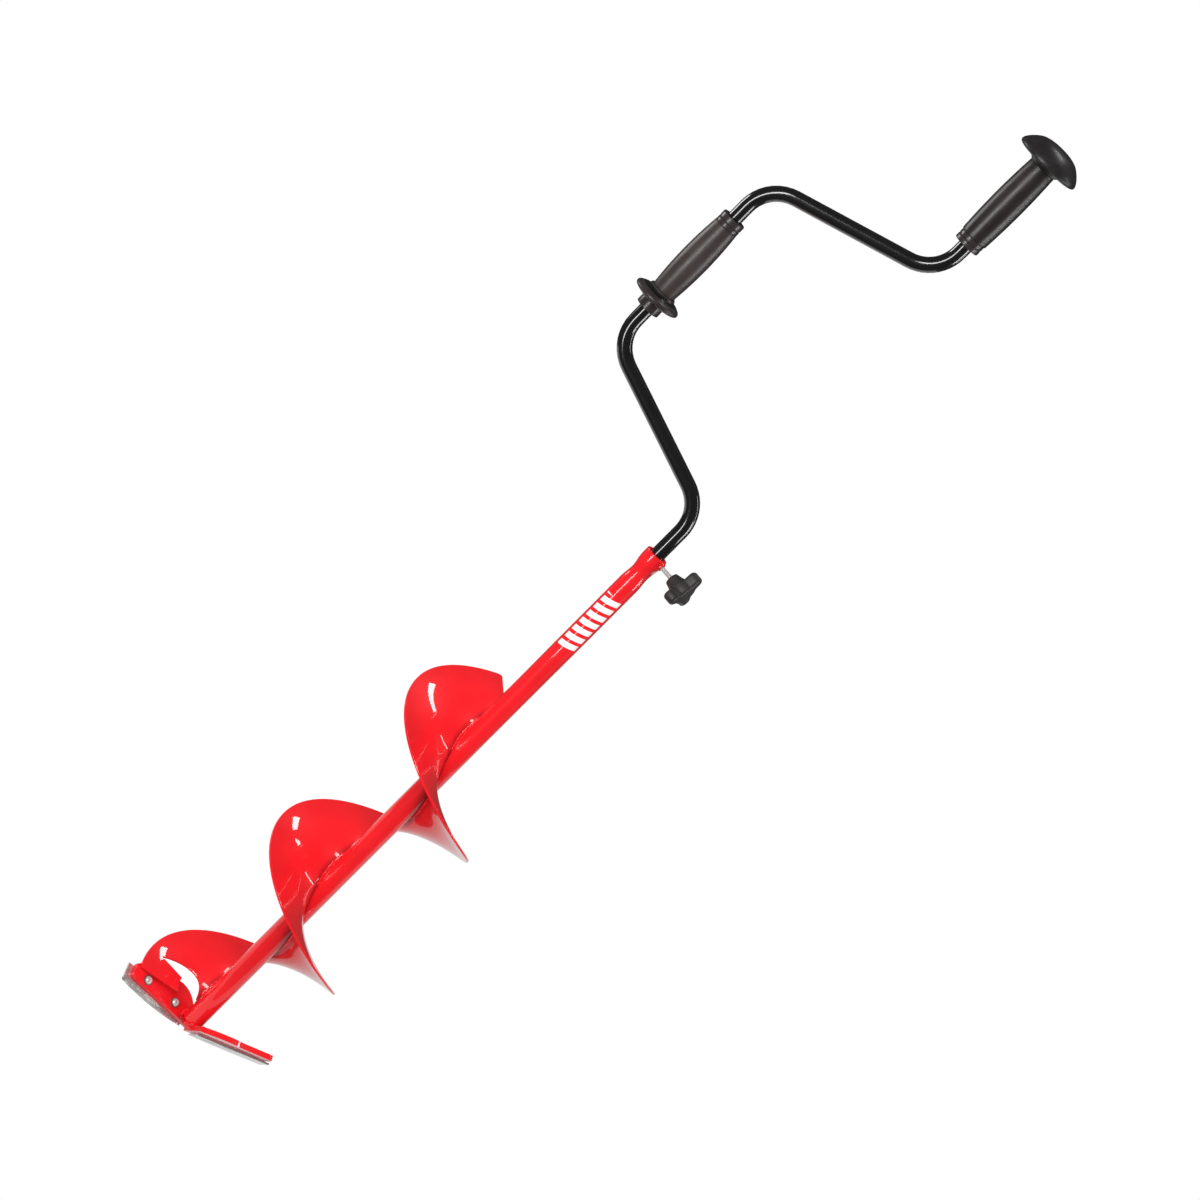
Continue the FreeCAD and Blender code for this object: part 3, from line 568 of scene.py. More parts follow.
def moved(shape: Shape, matrix: Matrix) -> Shape:
    """Put a shape in its place."""
    bmesh.ops.transform(shape, matrix=matrix, verts=shape.verts[:])
    return shape


def joined(*shapes: Shape) -> Shape:
    """Several shapes in one, the others given up."""
    first, *others = shapes
    for other in others:
        holder = bpy.data.meshes.new("holder")
        other.to_mesh(holder)
        first.from_mesh(holder)
        bpy.data.meshes.remove(holder)
        other.free()
    return first


def meshed(name: str, shape: Shape) -> bpy.types.Mesh:
    """A mesh made of a shape, which is given up."""
    mesh = bpy.data.meshes.new(name)
    shape.to_mesh(mesh)
    shape.free()
    return mesh


def placed(name: str, data: bpy.types.ID) -> bpy.types.Object:
    """A new object in the scene."""
    thing = bpy.data.objects.new(name, data)
    bpy.context.scene.collection.objects.link(thing)
    return thing


@dataclass
class Workshop:
    """Turns shapes into dressed pieces that ride on the frame's bodies."""

    paints: Dict[str, bpy.types.Material] = field(default_factory=dict)
    pieces: List[bpy.types.Object] = field(default_factory=list)

    def painted(self, mesh: bpy.types.Mesh, finish: Finish) -> None:
        """Give a mesh its finish, which is made the first time that it is asked for."""
        if finish.name not in self.paints:
            self.paints[finish.name] = finish.make()
        mesh.materials.clear()
        mesh.materials.append(self.paints[finish.name])

    def copy_of(self, node: str) -> Shape:
        """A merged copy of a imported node's shape."""
        shape = bmesh.new()
        shape.from_mesh(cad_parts[node].data)
        bmesh.ops.remove_doubles(shape, verts=shape.verts[:], dist=CAD_MERGE * MM)
        return shape

    def adopt(self, node: str, finish: Finish, body: Body, bevel: float = 0.0) -> bpy.types.Object:
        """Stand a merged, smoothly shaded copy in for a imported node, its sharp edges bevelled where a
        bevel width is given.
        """
        return self.stand_in(self.copy_of(node), node, finish, body, SHEET_CREASE, bevel)

    def stand_in(self, shape: Shape, node: str, finish: Finish, body: Body,
                 crease: float = CREASE, bevel: float = 0.0) -> bpy.types.Object:
        """Dress a shape, as dress does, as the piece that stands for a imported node."""
        piece = self.dress(shape, node + "_skin", finish, body, crease, bevel)
        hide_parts(node)
        return piece

    def dress(self, shape: Shape, name: str, finish: Finish, body: Body,
              crease: float = CREASE, bevel: float = 0.0) -> bpy.types.Object:
        """Make a shape a piece of the auger.

        Args:
            shape: the shape, in its place.
            name: the piece's name.
            finish: what it is finished in.
            body: the body that it rides on.
            crease: edges sharper than this many degrees stay sharp.
            bevel: width of a bevel on those edges.

        Returns:
            The piece.
        """
        mesh = meshed(name, shape)
        mesh.shade_smooth()
        mesh.set_sharp_from_angle(angle=math.radians(crease))
        self.painted(mesh, finish)
        piece = placed(name, mesh)
        if bevel:
            edge = piece.modifiers.new("edges", "BEVEL")
            edge.width = bevel * MM
            edge.segments = 3
            edge.limit_method = "ANGLE"
            edge.angle_limit = math.radians(crease)
            edge.harden_normals = True
        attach(piece, body.value)
        self.pieces.append(piece)
        return piece


# ---- drill
@dataclass
class Bead:
    """A rippled weld bead that climbs left-handed about the drill's axis."""

    radius: float
    thickness: float
    height: float
    start: float
    sweep: float
    pitch: float = 0.0
    ripple: float = 0.16
    steps: int = 96
    sides: int = 12
    least_taper: float = 0.25
    ripple_waves: Tuple[float, float] = (0.055, 0.31)

    def make(self) -> Shape:
        """Spin a round section along the bead's path and ripple it."""
        shape = bmesh.new()
        place = Matrix.Translation((self.radius * MM, 0, 0)) @ Matrix.Rotation(math.pi / 2, 4, "X")
        bmesh.ops.create_circle(shape, segments=self.sides, radius=self.thickness * MM, matrix=place)
        closed = abs(self.sweep) >= 360
        climb = self.pitch * self.sweep / 360 / self.steps
        spun(shape, -math.radians(self.sweep), self.steps, climb, closed)
        if not closed:
            bmesh.ops.holes_fill(shape, edges=open_edges(shape))
        settled(shape)
        for vert in shape.verts:
            turn = math.degrees(math.atan2(-vert.co.y, vert.co.x))
            turn += 360 if turn < -90 else 0
            share = min(max(turn / self.sweep, 0.0), 1.0)
            angle = math.radians(turn)
            lie = Vector((math.cos(angle), -math.sin(angle), 0)) * self.radius * MM
            lie.z = self.pitch * turn / 360 * MM
            taper = (1 - abs(2 * share - 1) ** 6) ** 0.5 if not closed else 1.0
            fine, broad = self.ripple_waves
            ripples = math.sin(turn * self.radius * fine) + 0.5 * math.sin(turn * broad)
            vert.co = lie + (vert.co - lie) * max(taper, self.least_taper) * (1 + self.ripple * ripples)
        return moved(shape, Matrix.Translation((0, 0, self.height * MM))
                     @ Matrix.Rotation(math.radians(self.start), 4, "Z"))


@dataclass
class DrillTube:
    """The drawn tube with its flared socket and the boss for the clamp screw."""

    wall: float = 1.5
    radius: float = 11.4
    foot: float = 10.0
    neck_radius: float = 10.2
    neck: Tuple[float, float, float] = (677.0, 687.0, 693.0)
    flare_radius: float = 12.4
    flare: float = 704.0
    rim: float = 716.0
    lip: float = 8.6
    clamp_height: float = 710.3
    clamp_angle: float = -17.0
    clamp_bore: float = 2.6
    pressings: Tuple[Tuple[float, float, float], ...] = ((0.0, 6.4, 1.7), (11.0, 7.0, -1.0))

    def out(self) -> Vector:
        """Direction of the clamp screw."""
        turn = math.radians(self.clamp_angle)
        return Vector((math.cos(turn), math.sin(turn), 0))

    def build(self, shop: Workshop) -> None:
        """Make the tube, press and drill its socket, and set the boss on it."""
        bore, throat = self.radius - self.wall, self.neck_radius - self.wall
        neck, socket, rim, (low, waist, high) = self.neck_radius, self.flare_radius, self.rim, self.neck
        tube = turned([
            (bore, self.foot, 0.4), (self.radius, self.foot, 0.6),
            (self.radius, low, 3), (neck, waist, 2.5),
            (neck, high, 3), (socket, self.flare, 4),
            (socket, rim - 3, 0.1), (socket, rim, 0.9),
            (self.lip, rim, 0.5), (self.lip, rim - 0.7),
            (neck, rim - 0.7), (neck, self.flare + 1, 0.6),
            (throat, high + 1, 2), (throat, waist, 2),
            (bore, low - 2, 2),
        ], steps=144)
        ribs = [edge for edge in tube.edges
                if min(vert.co.z for vert in edge.verts) > (high - 4) * MM
                and abs(edge.verts[0].co.z - edge.verts[1].co.z) > 0.8 * MM]
        bmesh.ops.subdivide_edges(tube, edges=ribs, cuts=5, use_grid_fill=True)
        centre = self.out() * self.flare_radius * MM + Vector((0, 0, self.clamp_height * MM))
        for below, reach, depth in self.pressings:
            self.press(tube, centre - Vector((0, 0, below * MM)), reach, depth)
        self.drill(tube, self.clamp_bore)
        shop.stand_in(tube, "drill_tube", RED_PRINTED_SHADED, Body.AUGER)
        boss = turned([(self.clamp_bore, 8.9), (4.6, 8.9), (4.6, 13.4, 0.9),
                       (self.clamp_bore, 13.4, 0.3)], steps=48)
        shop.stand_in(moved(boss, clamp_place(self)), "clamp_boss", RED, Body.AUGER, SHEET_CREASE)

    def press(self, tube: Shape, centre: Vector, reach: float, depth: float) -> None:
        """Raise a round swelling on the side of the socket, or sink a dent into it.

        Args:
            tube: the tube.
            centre: the middle of the swelling.
            reach: radius at which it dies out.
            depth: how far it stands out, negative for a dent.
        """
        out = self.out()
        for vert in tube.verts:
            if vert.co.dot(out) > 0:
                gap = vert.co - centre
                share = (gap - out * gap.dot(out)).length / (reach * MM)
                if share < 1:
                    vert.co += out * depth * MM * (1 - share * share) ** 2

    def drill(self, tube: Shape, radius: float) -> None:
        """Open the hole that the clamp screw and its pad pass through, from the bore to the outside.

        Args:
            tube: the tube.
            radius: radius of the hole.
        """
        out, middle = self.out(), Vector((0, 0, self.clamp_height * MM))

        def off_axis(vert: bmesh.types.BMVert) -> Vector:
            """The way from the hole's axis to a corner."""
            gap = vert.co - middle
            return gap - out * gap.dot(out)

        bmesh.ops.delete(tube, context="VERTS", geom=[
            vert for vert in tube.verts if vert.co.dot(out) > 0 and off_axis(vert).length < radius * MM])
        rims = open_edges(tube)
        for vert in {vert for edge in rims for vert in edge.verts}:
            gap = off_axis(vert)
            vert.co += gap.normalized() * radius * MM - gap
        bmesh.ops.bridge_loops(tube, edges=rims)


def clamp_place(tube: DrillTube) -> Matrix:
    """The clamp screw's place, its outward direction as the vertical one."""
    out = tube.out()
    across = Vector((0, 0, 1))
    turn = Matrix((across.cross(out).normalized(), across, out)).transposed()
    return Matrix.Translation((0, 0, tube.clamp_height * MM)) @ turn.to_4x4()


@dataclass
class Flight:
    """The left-handed flight and the stitch welds along its root."""

    pitch: float = 203.0
    foot: float = 25.8
    foot_angle: float = 210.0
    thickness: float = 2.6
    tube_radius: float = 11.4
    rounding: float = 0.45
    keenest: float = 55.0
    flatness: float = 0.93
    bead: Tuple[float, float] = (0.8, 1.5)
    stitches: Tuple[Tuple[float, float, bool], ...] = (
        (185.0, 45.0, True), (110.0, 50.0, True), (-129.0, 75.0, True), (-250.0, 50.0, True),
        (-489.0, 75.0, True), (20.0, 60.0, False), (-340.0, 60.0, False),
    )

    def height_at(self, azimuth: float) -> float:
        """Height of the flight's lower face at an azimuth that falls by 360 with each turn."""
        return self.foot + (self.foot_angle - azimuth) / 360 * self.pitch

    def build(self, shop: Workshop) -> None:
        """Round the sheet's edges, shade it as a true helix, and weld it on."""
        strip = shop.copy_of("flight")
        keen = [edge for edge in strip.edges if len(edge.link_faces) == 2
                and edge.calc_face_angle() > math.radians(self.keenest)
                and min(vert.co.xy.length for vert in edge.verts) > (self.tube_radius + 2) * MM]
        rounded(strip, keen, self.rounding, 2, clamp=True)
        piece = shop.stand_in(strip, "flight", RED_FLIGHT_SHADED, Body.AUGER)
        self.true_up(piece.data)
        off, thickness = self.bead
        beads = [Bead(self.tube_radius + off, thickness, self.height_at(start) + self.thickness * on_top,
                      start, sweep, self.pitch).make() for start, sweep, on_top in self.stitches]
        shop.dress(joined(*beads), "flight_welds", RED, Body.AUGER, WELD_CREASE)

    def true_up(self, mesh: bpy.types.Mesh) -> None:
        """Give the sheet's two broad faces the normals of the helix that they follow."""
        normals: List[Vector] = [Vector((0, 0, 0))] * len(mesh.loops)
        for face in mesh.polygons:
            agreement = face.normal.dot(self.normal_at(face.center))
            if abs(agreement) > self.flatness:
                side = math.copysign(1.0, agreement)
                for loop in face.loop_indices:
                    normals[loop] = self.normal_at(mesh.vertices[mesh.loops[loop].vertex_index].co) * side
        mesh.normals_split_custom_set(normals)

    def normal_at(self, spot: Vector) -> Vector:
        """Upward normal of the helix at a point."""
        radius = max(spot.xy.length, self.tube_radius * MM)
        slope = self.pitch * MM / (math.tau * radius)
        along = Vector((-spot.y / radius, spot.x / radius, -slope))
        outward = Vector((spot.x / radius, spot.y / radius, 0))
        return outward.cross(along).normalized()


@dataclass
class CuttingHead:
    """The two seats, the cutters and their screws, and the welds round the foot of the tube."""

    azimuth: float = 33.0
    attack: float = 39.0
    rise: float = 8.0
    pivot: float = -0.85
    thickness: float = 6.0
    tube_radius: float = 11.4
    reaches: Tuple[float, float] = (28.0, 71.0)
    setback: float = 16.5
    screw_radius: float = 2.5
    head_radius: float = 4.4
    head_height: float = 2.7
    washer: Tuple[float, float] = (5.4, 1.0)
    socket_radius: float = 1.55
    socket_depth: float = 1.5
    weld_foot: float = 12.0
    seat_bevel: float = 1.2
    cutter_bevel: float = 0.18

    def place(self, side: int, along: float = 0.0, forward: float = 0.0, above: float = 0.0) -> Matrix:
        """A seat's place: X out along the arm, Y towards the edge, Z off the top face."""
        turn = (Matrix.Rotation(math.radians(self.azimuth + 180 * side), 4, "Z")
                @ Matrix.Rotation(-math.radians(self.rise), 4, "Y")
                @ Matrix.Rotation(-math.radians(self.attack), 4, "X"))
        offset = Matrix.Translation((along * MM, forward * MM, above * MM))
        return Matrix.Translation((0, 0, self.pivot * MM)) @ turn @ offset

    def build(self, shop: Workshop) -> None:
        """Make everything below the flight."""
        for name in ("right", "left"):
            shop.adopt(f"cutter_seat_{name}", RED, Body.AUGER, self.seat_bevel)
            shop.adopt(f"cutter_{name}", BLADE, Body.AUGER, self.cutter_bevel)
        screws, washers = [], []
        for side in (0, 1):
            for reach in self.reaches:
                seat = self.place(side, reach, -self.setback, self.thickness)
                screws.append(moved(self.screw(), seat))
                washers.append(moved(self.spun_washer(), seat))
        shop.stand_in(joined(*screws), "cutter_screws", ZINC, Body.AUGER, HARDWARE_CREASE)
        shop.stand_in(joined(*washers), "cutter_washers", DARK_ZINC, Body.AUGER, HARDWARE_CREASE)
        welds = [self.root_weld(side) for side in (0, 1)]
        shop.dress(joined(*welds), "seat_welds", RED, Body.AUGER, WELD_CREASE)

    def screw(self) -> Shape:
        """A button head with a hexagon socket, on its shank."""
        foot, top = self.washer[1], self.washer[1] + self.head_height
        head = turned([
            (self.socket_radius * 0.9, foot + self.head_height - self.socket_depth),
            (self.socket_radius, top - 0.05, 0.15), (self.head_radius * 0.62, top, 0.6),
            (self.head_radius, foot + 0.9, 0.9), (self.head_radius - 0.1, foot, 0.2),
            (self.screw_radius, foot), (self.screw_radius, -self.thickness - 1.9, 0.3),
            (0, -self.thickness - 1.9),
        ], closed=False, steps=48)
        for vert in head.verts:
            if vert.co.xy.length < self.socket_radius * 1.02 * MM and vert.co.z > foot * MM:
                turn = math.atan2(vert.co.y, vert.co.x) % (math.pi / 3) - math.pi / 6
                vert.co.xy *= math.cos(math.pi / 6) / math.cos(turn) * 1.1
        bmesh.ops.holes_fill(head, edges=open_edges(head))
        return settled(head)

    def spun_washer(self) -> Shape:
        """A flat washer with broken edges."""
        radius, height = self.washer
        return turned([(self.screw_radius + 0.05, 0.02), (radius, 0.02, 0.2),
                       (radius, height, 0.3), (self.screw_radius + 0.05, height)], steps=48)

    def root_weld(self, side: int) -> Shape:
        """A heavy bead round the tube, where a seat's upper face meets it."""
        weld = Bead(self.tube_radius + 0.6, 2.3, 0, 0, 360, ripple=0.2, steps=120).make()
        place = self.place(side, above=self.thickness)
        normal = place.to_3x3() @ Vector((0, 0, 1))
        for vert in weld.verts:
            fall = normal.xy.dot(vert.co.xy - place.translation.xy)
            vert.co.z += max(place.translation.z - fall / normal.z, self.weld_foot * MM)
        return weld


# ---- clamp screw
@dataclass
class ClampScrew:
    """Threaded stud and three-lobed knob, drawn with the outward direction as the vertical one."""

    stud_radius: float = 2.5
    thread_depth: float = 0.42
    thread_pitch: float = 1.0
    facets: int = 24
    smoothing: int = 6
    dish: Tuple[float, float, float] = (2.6, 1.2, -0.9)
    stud: Tuple[float, float] = (10.6, 37.0)
    hub_radius: float = 8.2
    hub_foot: float = 27.5
    head: Tuple[float, float] = (39.0, 52.0)
    lobe_reach: float = 15.8
    lobe_radius: float = 7.4
    core_radius: float = 13.0
    edge: float = 3.2

    def build(self, shop: Workshop) -> None:
        """Make the stud and the knob."""
        place = clamp_place(DrillTube())
        shop.stand_in(moved(self.thread(), place), "clamp_stud", ZINC, Body.CLAMP_SCREW, THREAD_CREASE)
        hub = turned([
            (4.6, self.hub_foot, 0.3), (self.hub_radius - 1.2, self.hub_foot, 1.0),
            (self.hub_radius, self.hub_foot + 5, 2), (self.hub_radius + 2.5, self.head[0] + 1),
            (4.6, self.head[0] + 1),
        ], steps=64)
        shop.stand_in(moved(joined(self.lobes(), hub), place), "clamp_knob", KNOB_PLASTIC, Body.CLAMP_SCREW,
                      KNOB_CREASE)

    def thread(self) -> Shape:
        """The stud's thread, one groove spun up its length."""
        low, high = self.stud
        crest, root = self.stud_radius, self.stud_radius - self.thread_depth
        levels = ((crest, 0.0), (crest, 0.15), (root, 0.55), (root, 0.65), (crest, 1.0))
        shape = outlined([(radius, low + level * self.thread_pitch) for radius, level in levels], False)
        turns = int((high - low) / self.thread_pitch) - 1
        spun(shape, math.tau * turns, turns * self.facets, self.thread_pitch / self.facets)
        bmesh.ops.remove_doubles(shape, verts=shape.verts[:], dist=THREAD_MERGE * MM)
        bmesh.ops.holes_fill(shape, edges=open_edges(shape))
        return settled(shape)

    def lobes(self) -> Shape:
        """The knob's head: a three-lobed outline raised to its thickness, with a shallow dish on top."""
        shape = bmesh.new()
        bmesh.ops.create_circle(shape, segments=120, radius=1.0, cap_ends=True)
        for vert in shape.verts:
            vert.co.xy = vert.co.xy.normalized() * self.outline(math.atan2(vert.co.x, vert.co.y)) * MM
        for _ in range(self.smoothing):
            bmesh.ops.smooth_vert(shape, verts=shape.verts[:], factor=0.5, use_axis_x=True, use_axis_y=True)
        low, high = self.head
        bmesh.ops.translate(shape, verts=shape.verts[:], vec=(0, 0, low * MM))
        raised = bmesh.ops.extrude_face_region(shape, geom=shape.faces[:])
        top = [item for item in raised["geom"] if isinstance(item, bmesh.types.BMVert)]
        bmesh.ops.translate(shape, verts=top, vec=(0, 0, (high - low) * MM))
        settled(shape)
        rims = [edge for edge in shape.edges if edge.calc_face_angle(0) > math.radians(60)]
        rounded(shape, rims, self.edge)
        crown = max(shape.faces, key=lambda face: face.calc_center_median().z)
        border, slope, depth = self.dish
        bmesh.ops.inset_individual(shape, faces=[crown], thickness=border * MM, depth=0.0)
        crown = max(shape.faces, key=lambda face: (face.calc_center_median().z, face.calc_area()))
        bmesh.ops.inset_individual(shape, faces=[crown], thickness=slope * MM, depth=depth * MM)
        return shape

    def outline(self, turn: float) -> float:
        """Distance of the knob's edge from its axis in a direction measured from a lobe."""
        off = (turn + math.pi / 3) % (math.tau / 3) - math.pi / 3
        across = self.lobe_reach * math.sin(off)
        if abs(across) >= self.lobe_radius:
            return self.core_radius
        edge = self.lobe_reach * math.cos(off) + math.sqrt(self.lobe_radius ** 2 - across ** 2)
        return max(self.core_radius, edge)


# ---- grips
@dataclass
class MiddleGrip:
    """The turning grip with its guard disc, hub and end ring."""

    across: float = -178.8
    foot: float = 885.0
    disc: Tuple[float, float, float] = (894.0, 899.5, 909.0)
    disc_radius: float = 26.85
    top: float = 997.5
    end: float = 1009.5
    liner: float = 9.6
    recess: float = 12.0
    ring: float = 13.2
    grip: float = 13.3
    bulge: float = 2.3

    def build(self, shop: Workshop) -> None:
        """Make the four turned mouldings, and a thin black sheet laid in the disc's recess as painted
        shade.
        """
        low, rim, high = self.disc
        liner, recess, ring, disc = self.liner, self.recess, self.ring, self.disc_radius
        foot, top, end = self.foot, self.top, self.end
        parts = {
            "mid_grip_hub": (RING_PLASTIC, [
                (recess, foot, 0.3), (ring, foot, 0.5),
                (ring, low - 2, 1.0), (ring, low + 0.5), (liner, low + 0.5),
                (liner, foot + 4), (recess, foot + 4)], ()),
            "guard_disc": (DISC_PLASTIC, [
                (liner, low), (ring + 1.5, low, 1.0),
                (disc - 3.0, rim - 3.2, 2.0), (disc, rim - 1.6, 1.5),
                (disc, rim + 1.6, 1.6), (disc - 3.2, rim + 3.6, 1.8),
                (21.0, high - 4.6, 0.8), (20.0, high - 6.2, 0.6), (16.4, high - 3.4, 0.8),
                (15.0, high, 0.8), (liner, high)], ()),
            "mid_grip_sleeve": (MID_RUBBER, [
                (liner, high), (self.grip, high, 0.5), (self.grip, top, 0.5),
                (liner, top)], ((high, top, self.bulge),)),
            "mid_grip_end_ring": (RING_PLASTIC, [
                (liner, top), (ring, top, 0.7),
                (ring, top + 4.2, 0.6), (ring - 0.8, top + 4.8, 0.3),
                (ring, top + 5.4, 0.6), (ring, end, 1.2),
                (recess, end, 0.4), (recess, end - 4),
                (liner, end - 4)], ()),
        }
        # painted shade: a black sheet over the disc's recess that darkens it; the real disc has no such
        # part
        dish = [(15.0, high - 0.3), (16.5, high - 3.3, 0.8), (20.1, high - 6.05, 0.5),
                (20.9, high - 4.75), (21.2, high - 5.2), (20.1, high - 6.6, 0.5),
                (16.2, high - 3.8, 0.8), (14.6, high - 0.6)]
        place = Matrix.Translation((self.across * MM, 0, 0))
        shop.dress(moved(turned(dish), place), "guard_disc_painted_shade", BLACK_PLASTIC, Body.MIDDLE_GRIP)
        for node, (finish, corners, bows) in parts.items():
            shape = moved(turned(corners, bows=bows), place)
            shop.stand_in(shape, node, finish, Body.MIDDLE_GRIP)


@dataclass
class TopHandle:
    """The turning top grip, its end ring and the mushroom palm cap."""

    foot: float = 1150.0
    grip_foot: float = 1161.0
    grip_top: float = 1254.5
    liner: float = 9.6
    recess: float = 12.0
    ring: float = 14.1
    grip: float = 14.9
    bulge: float = 1.5
    cap_radius: float = 35.0
    rim: float = 1261.5
    top: float = 1281.0

    def build(self, shop: Workshop) -> None:
        """Make the three turned mouldings."""
        liner, recess, ring, cap, foot = self.liner, self.recess, self.ring, self.cap_radius, self.foot
        low, high, rim, top = self.grip_foot, self.grip_top, self.rim, self.top
        parts = {
            "top_grip_end_ring": (RING_PLASTIC, [
                (recess, foot, 0.4), (ring, foot, 1.2),
                (ring, foot + 5.0, 0.6), (ring - 0.8, foot + 5.6, 0.3),
                (ring, foot + 6.2, 0.6), (ring, low, 0.7),
                (liner, low), (liner, foot + 4),
                (recess, foot + 4)], (), True),
            "top_grip_sleeve": (GRIP_RUBBER, [
                (liner, low), (self.grip, low, 0.5),
                (self.grip, high, 0.4), (liner, high)],
                ((low, high, self.bulge),), True),
            "palm_cap": (CAP_PLASTIC, [
                (0, rim + 6), (recess, rim + 6), (recess, rim - 4),
                (liner, rim - 4), (liner, high),
                (15.0, high, 0.5), (19.0, rim - 3.4, 2.5),
                (31.5, rim - 2.6, 1.5), (cap, rim - 1.0, 1.4),
                (cap, rim + 2.4, 1.8), (cap - 6.5, top - 7.4, 8.0),
                (16.0, top - 0.6, 9.0), (0, top)], (), False),
        }
        for node, (finish, corners, bows, closed) in parts.items():
            shop.stand_in(turned(corners, closed, bows=bows), node, finish, Body.TOP_HANDLE)


# ---- studio
@dataclass(frozen=True)
class Softbox:
    """A rectangular lamp with its middle, the point that it faces and the run of its long side."""

    name: str
    middle: Tuple[float, float, float]
    faces: Tuple[float, float, float]
    long_side: Tuple[float, float, float]
    width: float
    length: float
    power: float
    in_gloss: bool = True


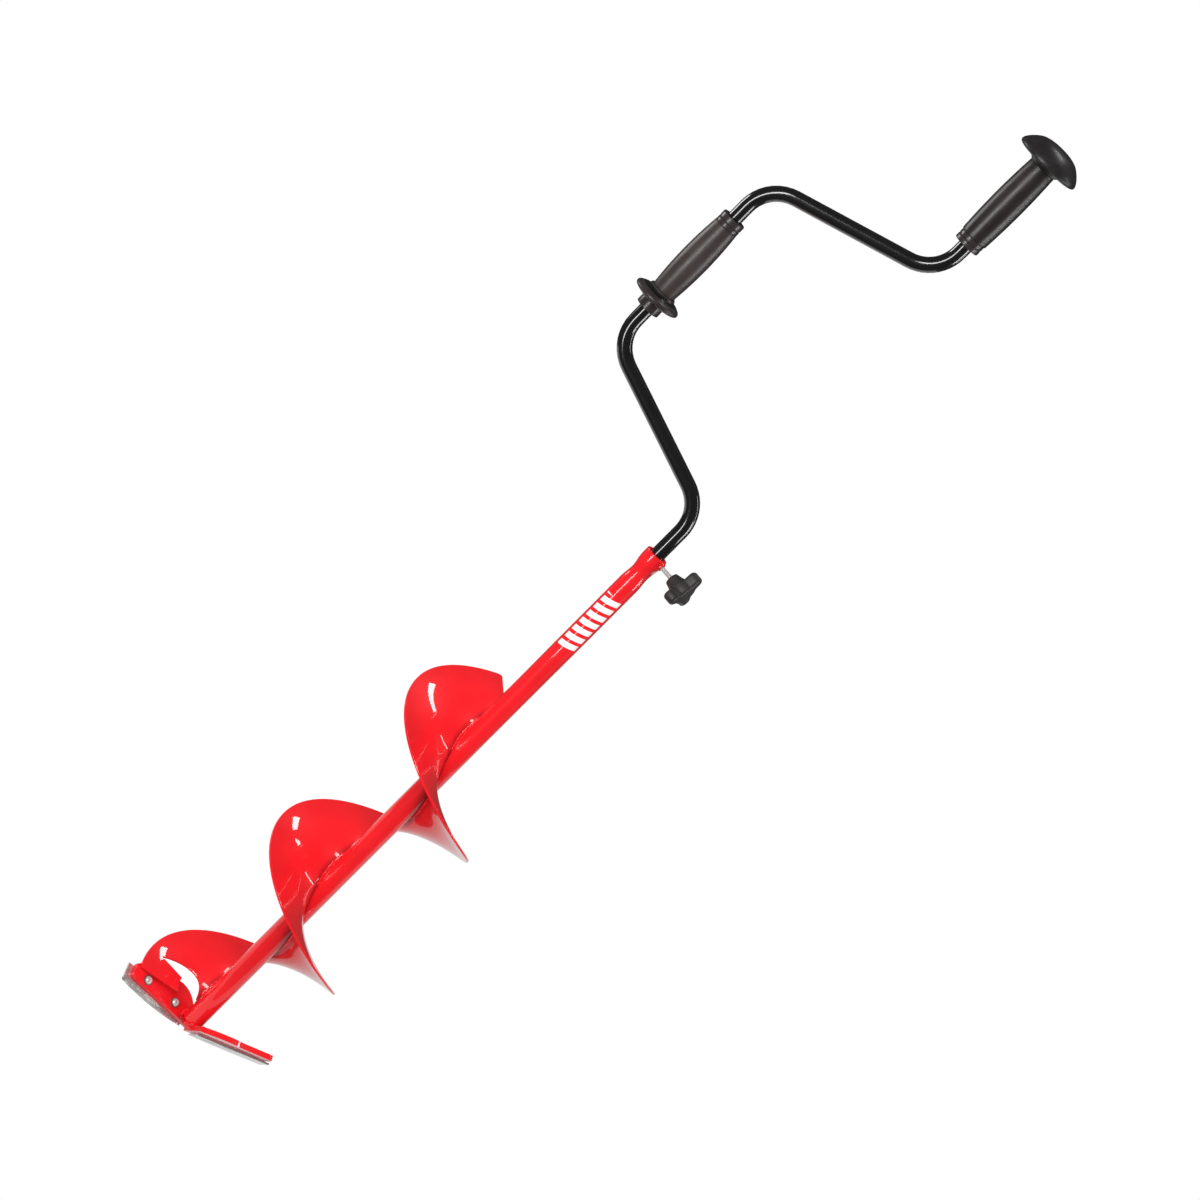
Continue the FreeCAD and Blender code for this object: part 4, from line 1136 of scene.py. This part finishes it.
@dataclass
class Studio:
    """Camera, backdrop, floor and lamps, all in metres."""

    target: Vector = field(default_factory=lambda: Vector((-0.0088, 0.0, 0.6413)))
    distance: float = 4.0
    elevation: float = math.radians(14.0)
    roll: float = math.radians(45.1)
    lens: float = 120.0
    floor_size: float = 60.0
    floor_gap: float = 0.0005
    floor_glow: float = 1.0
    card_size: float = 2.2
    card_glow: float = 0.8
    backdrop: Tuple[float, float, float] = (1.0, 0.44, 0.05)
    card_middle: Tuple[float, float, float] = (0.15, 0.95, -0.03)
    softboxes: Tuple[Softbox, ...] = (
        Softbox("left_strip", (-1.016, -2.393, 1.07), (0, 0, 1.07), (0, 0, 1), 0.46, 2.46, 44.0),
        Softbox("overhead", (0.26, 1.16, 4.216), (-0.06, 0, 0.4), (0.30, -0.23, 0.04), 0.26, 1.55, 22.0),
        Softbox("right_strip", (2.548, 0.518, 1.9), (0, 0, 1.9), (0, 0, 1), 0.12, 3.2, 17.0),
        Softbox("right_low", (2.575, -0.36, 0.66), (0, 0, 0.66), (0, 0, 1), 0.6, 1.1, 17.0),
        Softbox("left_rim", (-2.511, 0.673, 0.78), (0, 0, 0.78), (0, 0, 1), 0.8, 0.76, 15.0),
        Softbox("key", (-0.85, -2.33, 3.1), (0, 0, 0.64), (1, 0, 0), 2.2, 2.2, 60.0, False),
    )

    def build(self) -> None:
        """Set up everything around the object."""
        self.place_camera()
        self.light_backdrop()
        self.lay_floor()
        for softbox in self.softboxes:
            self.hang(softbox)
        bpy.context.scene.view_settings.view_transform = "Standard"

    def place_camera(self) -> None:
        """Aim the camera, tipped so that the drill's axis runs up to the right."""
        data = bpy.data.cameras.new("camera")
        data.lens = self.lens
        camera = placed("camera", data)
        turn = (Matrix.Rotation(math.pi / 2 - self.elevation, 4, "X")
                @ Matrix.Rotation(math.pi / 2 - self.roll, 4, "Z"))
        camera.matrix_world = (Matrix.Translation(self.target) @ turn
                               @ Matrix.Translation((0, 0, self.distance)))
        bpy.context.scene.camera = camera

    def light_backdrop(self) -> None:
        """White to the eye, softer on matte surfaces, and dim in reflections."""
        tree = ShaderTree(bpy.data.worlds.new("backdrop"))
        rays = tree.add("LightPath")
        eye, matte, gloss = (tree.out(tree.add("Background", {}, {"Color": (level, level, level, 1)}))
                             for level in self.backdrop)
        shown = gloss
        for ray, level in (("Is Diffuse Ray", matte), ("Is Camera Ray", eye)):
            shown = tree.out(tree.add("MixShader", {}, {0: tree.out(rays, ray), 1: shown, 2: level}))
        tree.add("OutputWorld", {}, {"Surface": shown})
        bpy.context.scene.world = tree.owner

    def lay_floor(self) -> None:
        """A plain white floor just under the cutting edges, and a white card that gloss surfaces see."""
        foot = CAD_BOX[0][2] - self.floor_gap
        floor = self.lit_sheet("floor", self.floor_size, (0, 0, foot), self.floor_glow)
        floor.visible_glossy = False
        card = self.lit_sheet("floor_card", self.card_size, self.card_middle, self.card_glow)
        card.visible_camera = False

    def lit_sheet(self, name: str, size: float, middle: Sequence[float], glow: float) -> bpy.types.Object:
        """A level white sheet, lit from within, that casts no shadow or light on the object.

        Args:
            name: the sheet's name.
            size: its side.
            middle: where it lies.
            glow: its brightness.

        Returns:
            The sheet.
        """
        shape = bmesh.new()
        bmesh.ops.create_grid(shape, x_segments=1, y_segments=1, size=size / 2,
                              matrix=Matrix.Translation(middle))
        mesh = meshed(name, shape)
        tree = ShaderTree(bpy.data.materials.new("white_" + name))
        lamp = tree.add("Emission", {}, {"Color": WHITE, "Strength": glow})
        tree.add("OutputMaterial", {}, {"Surface": tree.out(lamp)})
        mesh.materials.append(tree.owner)
        sheet = placed(name, mesh)
        sheet.visible_diffuse = False
        sheet.visible_shadow = False
        return sheet

    def hang(self, softbox: Softbox) -> None:
        """Hang one lamp."""
        towards = (Vector(softbox.middle) - Vector(softbox.faces)).normalized()
        data = bpy.data.lights.new(softbox.name, "AREA")
        data.shape = "RECTANGLE"
        data.size, data.size_y = softbox.width, softbox.length
        data.energy = softbox.power
        lamp = placed(softbox.name, data)
        lamp.visible_glossy = softbox.in_gloss
        lamp_right = Vector(softbox.long_side).cross(towards).normalized()
        turn = Matrix((lamp_right, towards.cross(lamp_right), towards)).transposed()
        lamp.matrix_world = Matrix.Translation(softbox.middle) @ turn.to_4x4()


# ---- whole
def main() -> None:
    """Build the studio and every sub-assembly, then report what was made."""
    logging.basicConfig(level=logging.INFO, format="%(name)s: %(message)s")
    Studio().build()
    shop = Workshop()
    for assembly in (DrillTube(), Flight(), CuttingHead(), ClampScrew(), MiddleGrip(), TopHandle()):
        assembly.build(shop)
    shop.adopt("crank_tube", GLOSS_BLACK, Body.CRANK)
    inside = {
        "tube_end_plug": ZINC, "clamp_pad": BRASS, "knob_insert": BRASS, "glide_sleeve": NYLON,
        "glide_stop_collar": DARK_ZINC, "crank_foot_plug": KNOB_PLASTIC, "guide_bush": BLACK_PLASTIC,
        "mid_grip_retainers": BLACK_PLASTIC, "top_grip_retainers": BLACK_PLASTIC,
        "mid_grip_liner": BLACK_PLASTIC, "top_grip_liner": BLACK_PLASTIC,
    }
    for node, finish in inside.items():
        shop.painted(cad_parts[node].data, finish)
    for piece in shop.pieces:
        LOG.info("%s: %d faces", piece.name, len(piece.data.polygons))


if __name__ == "__main__":
    main()
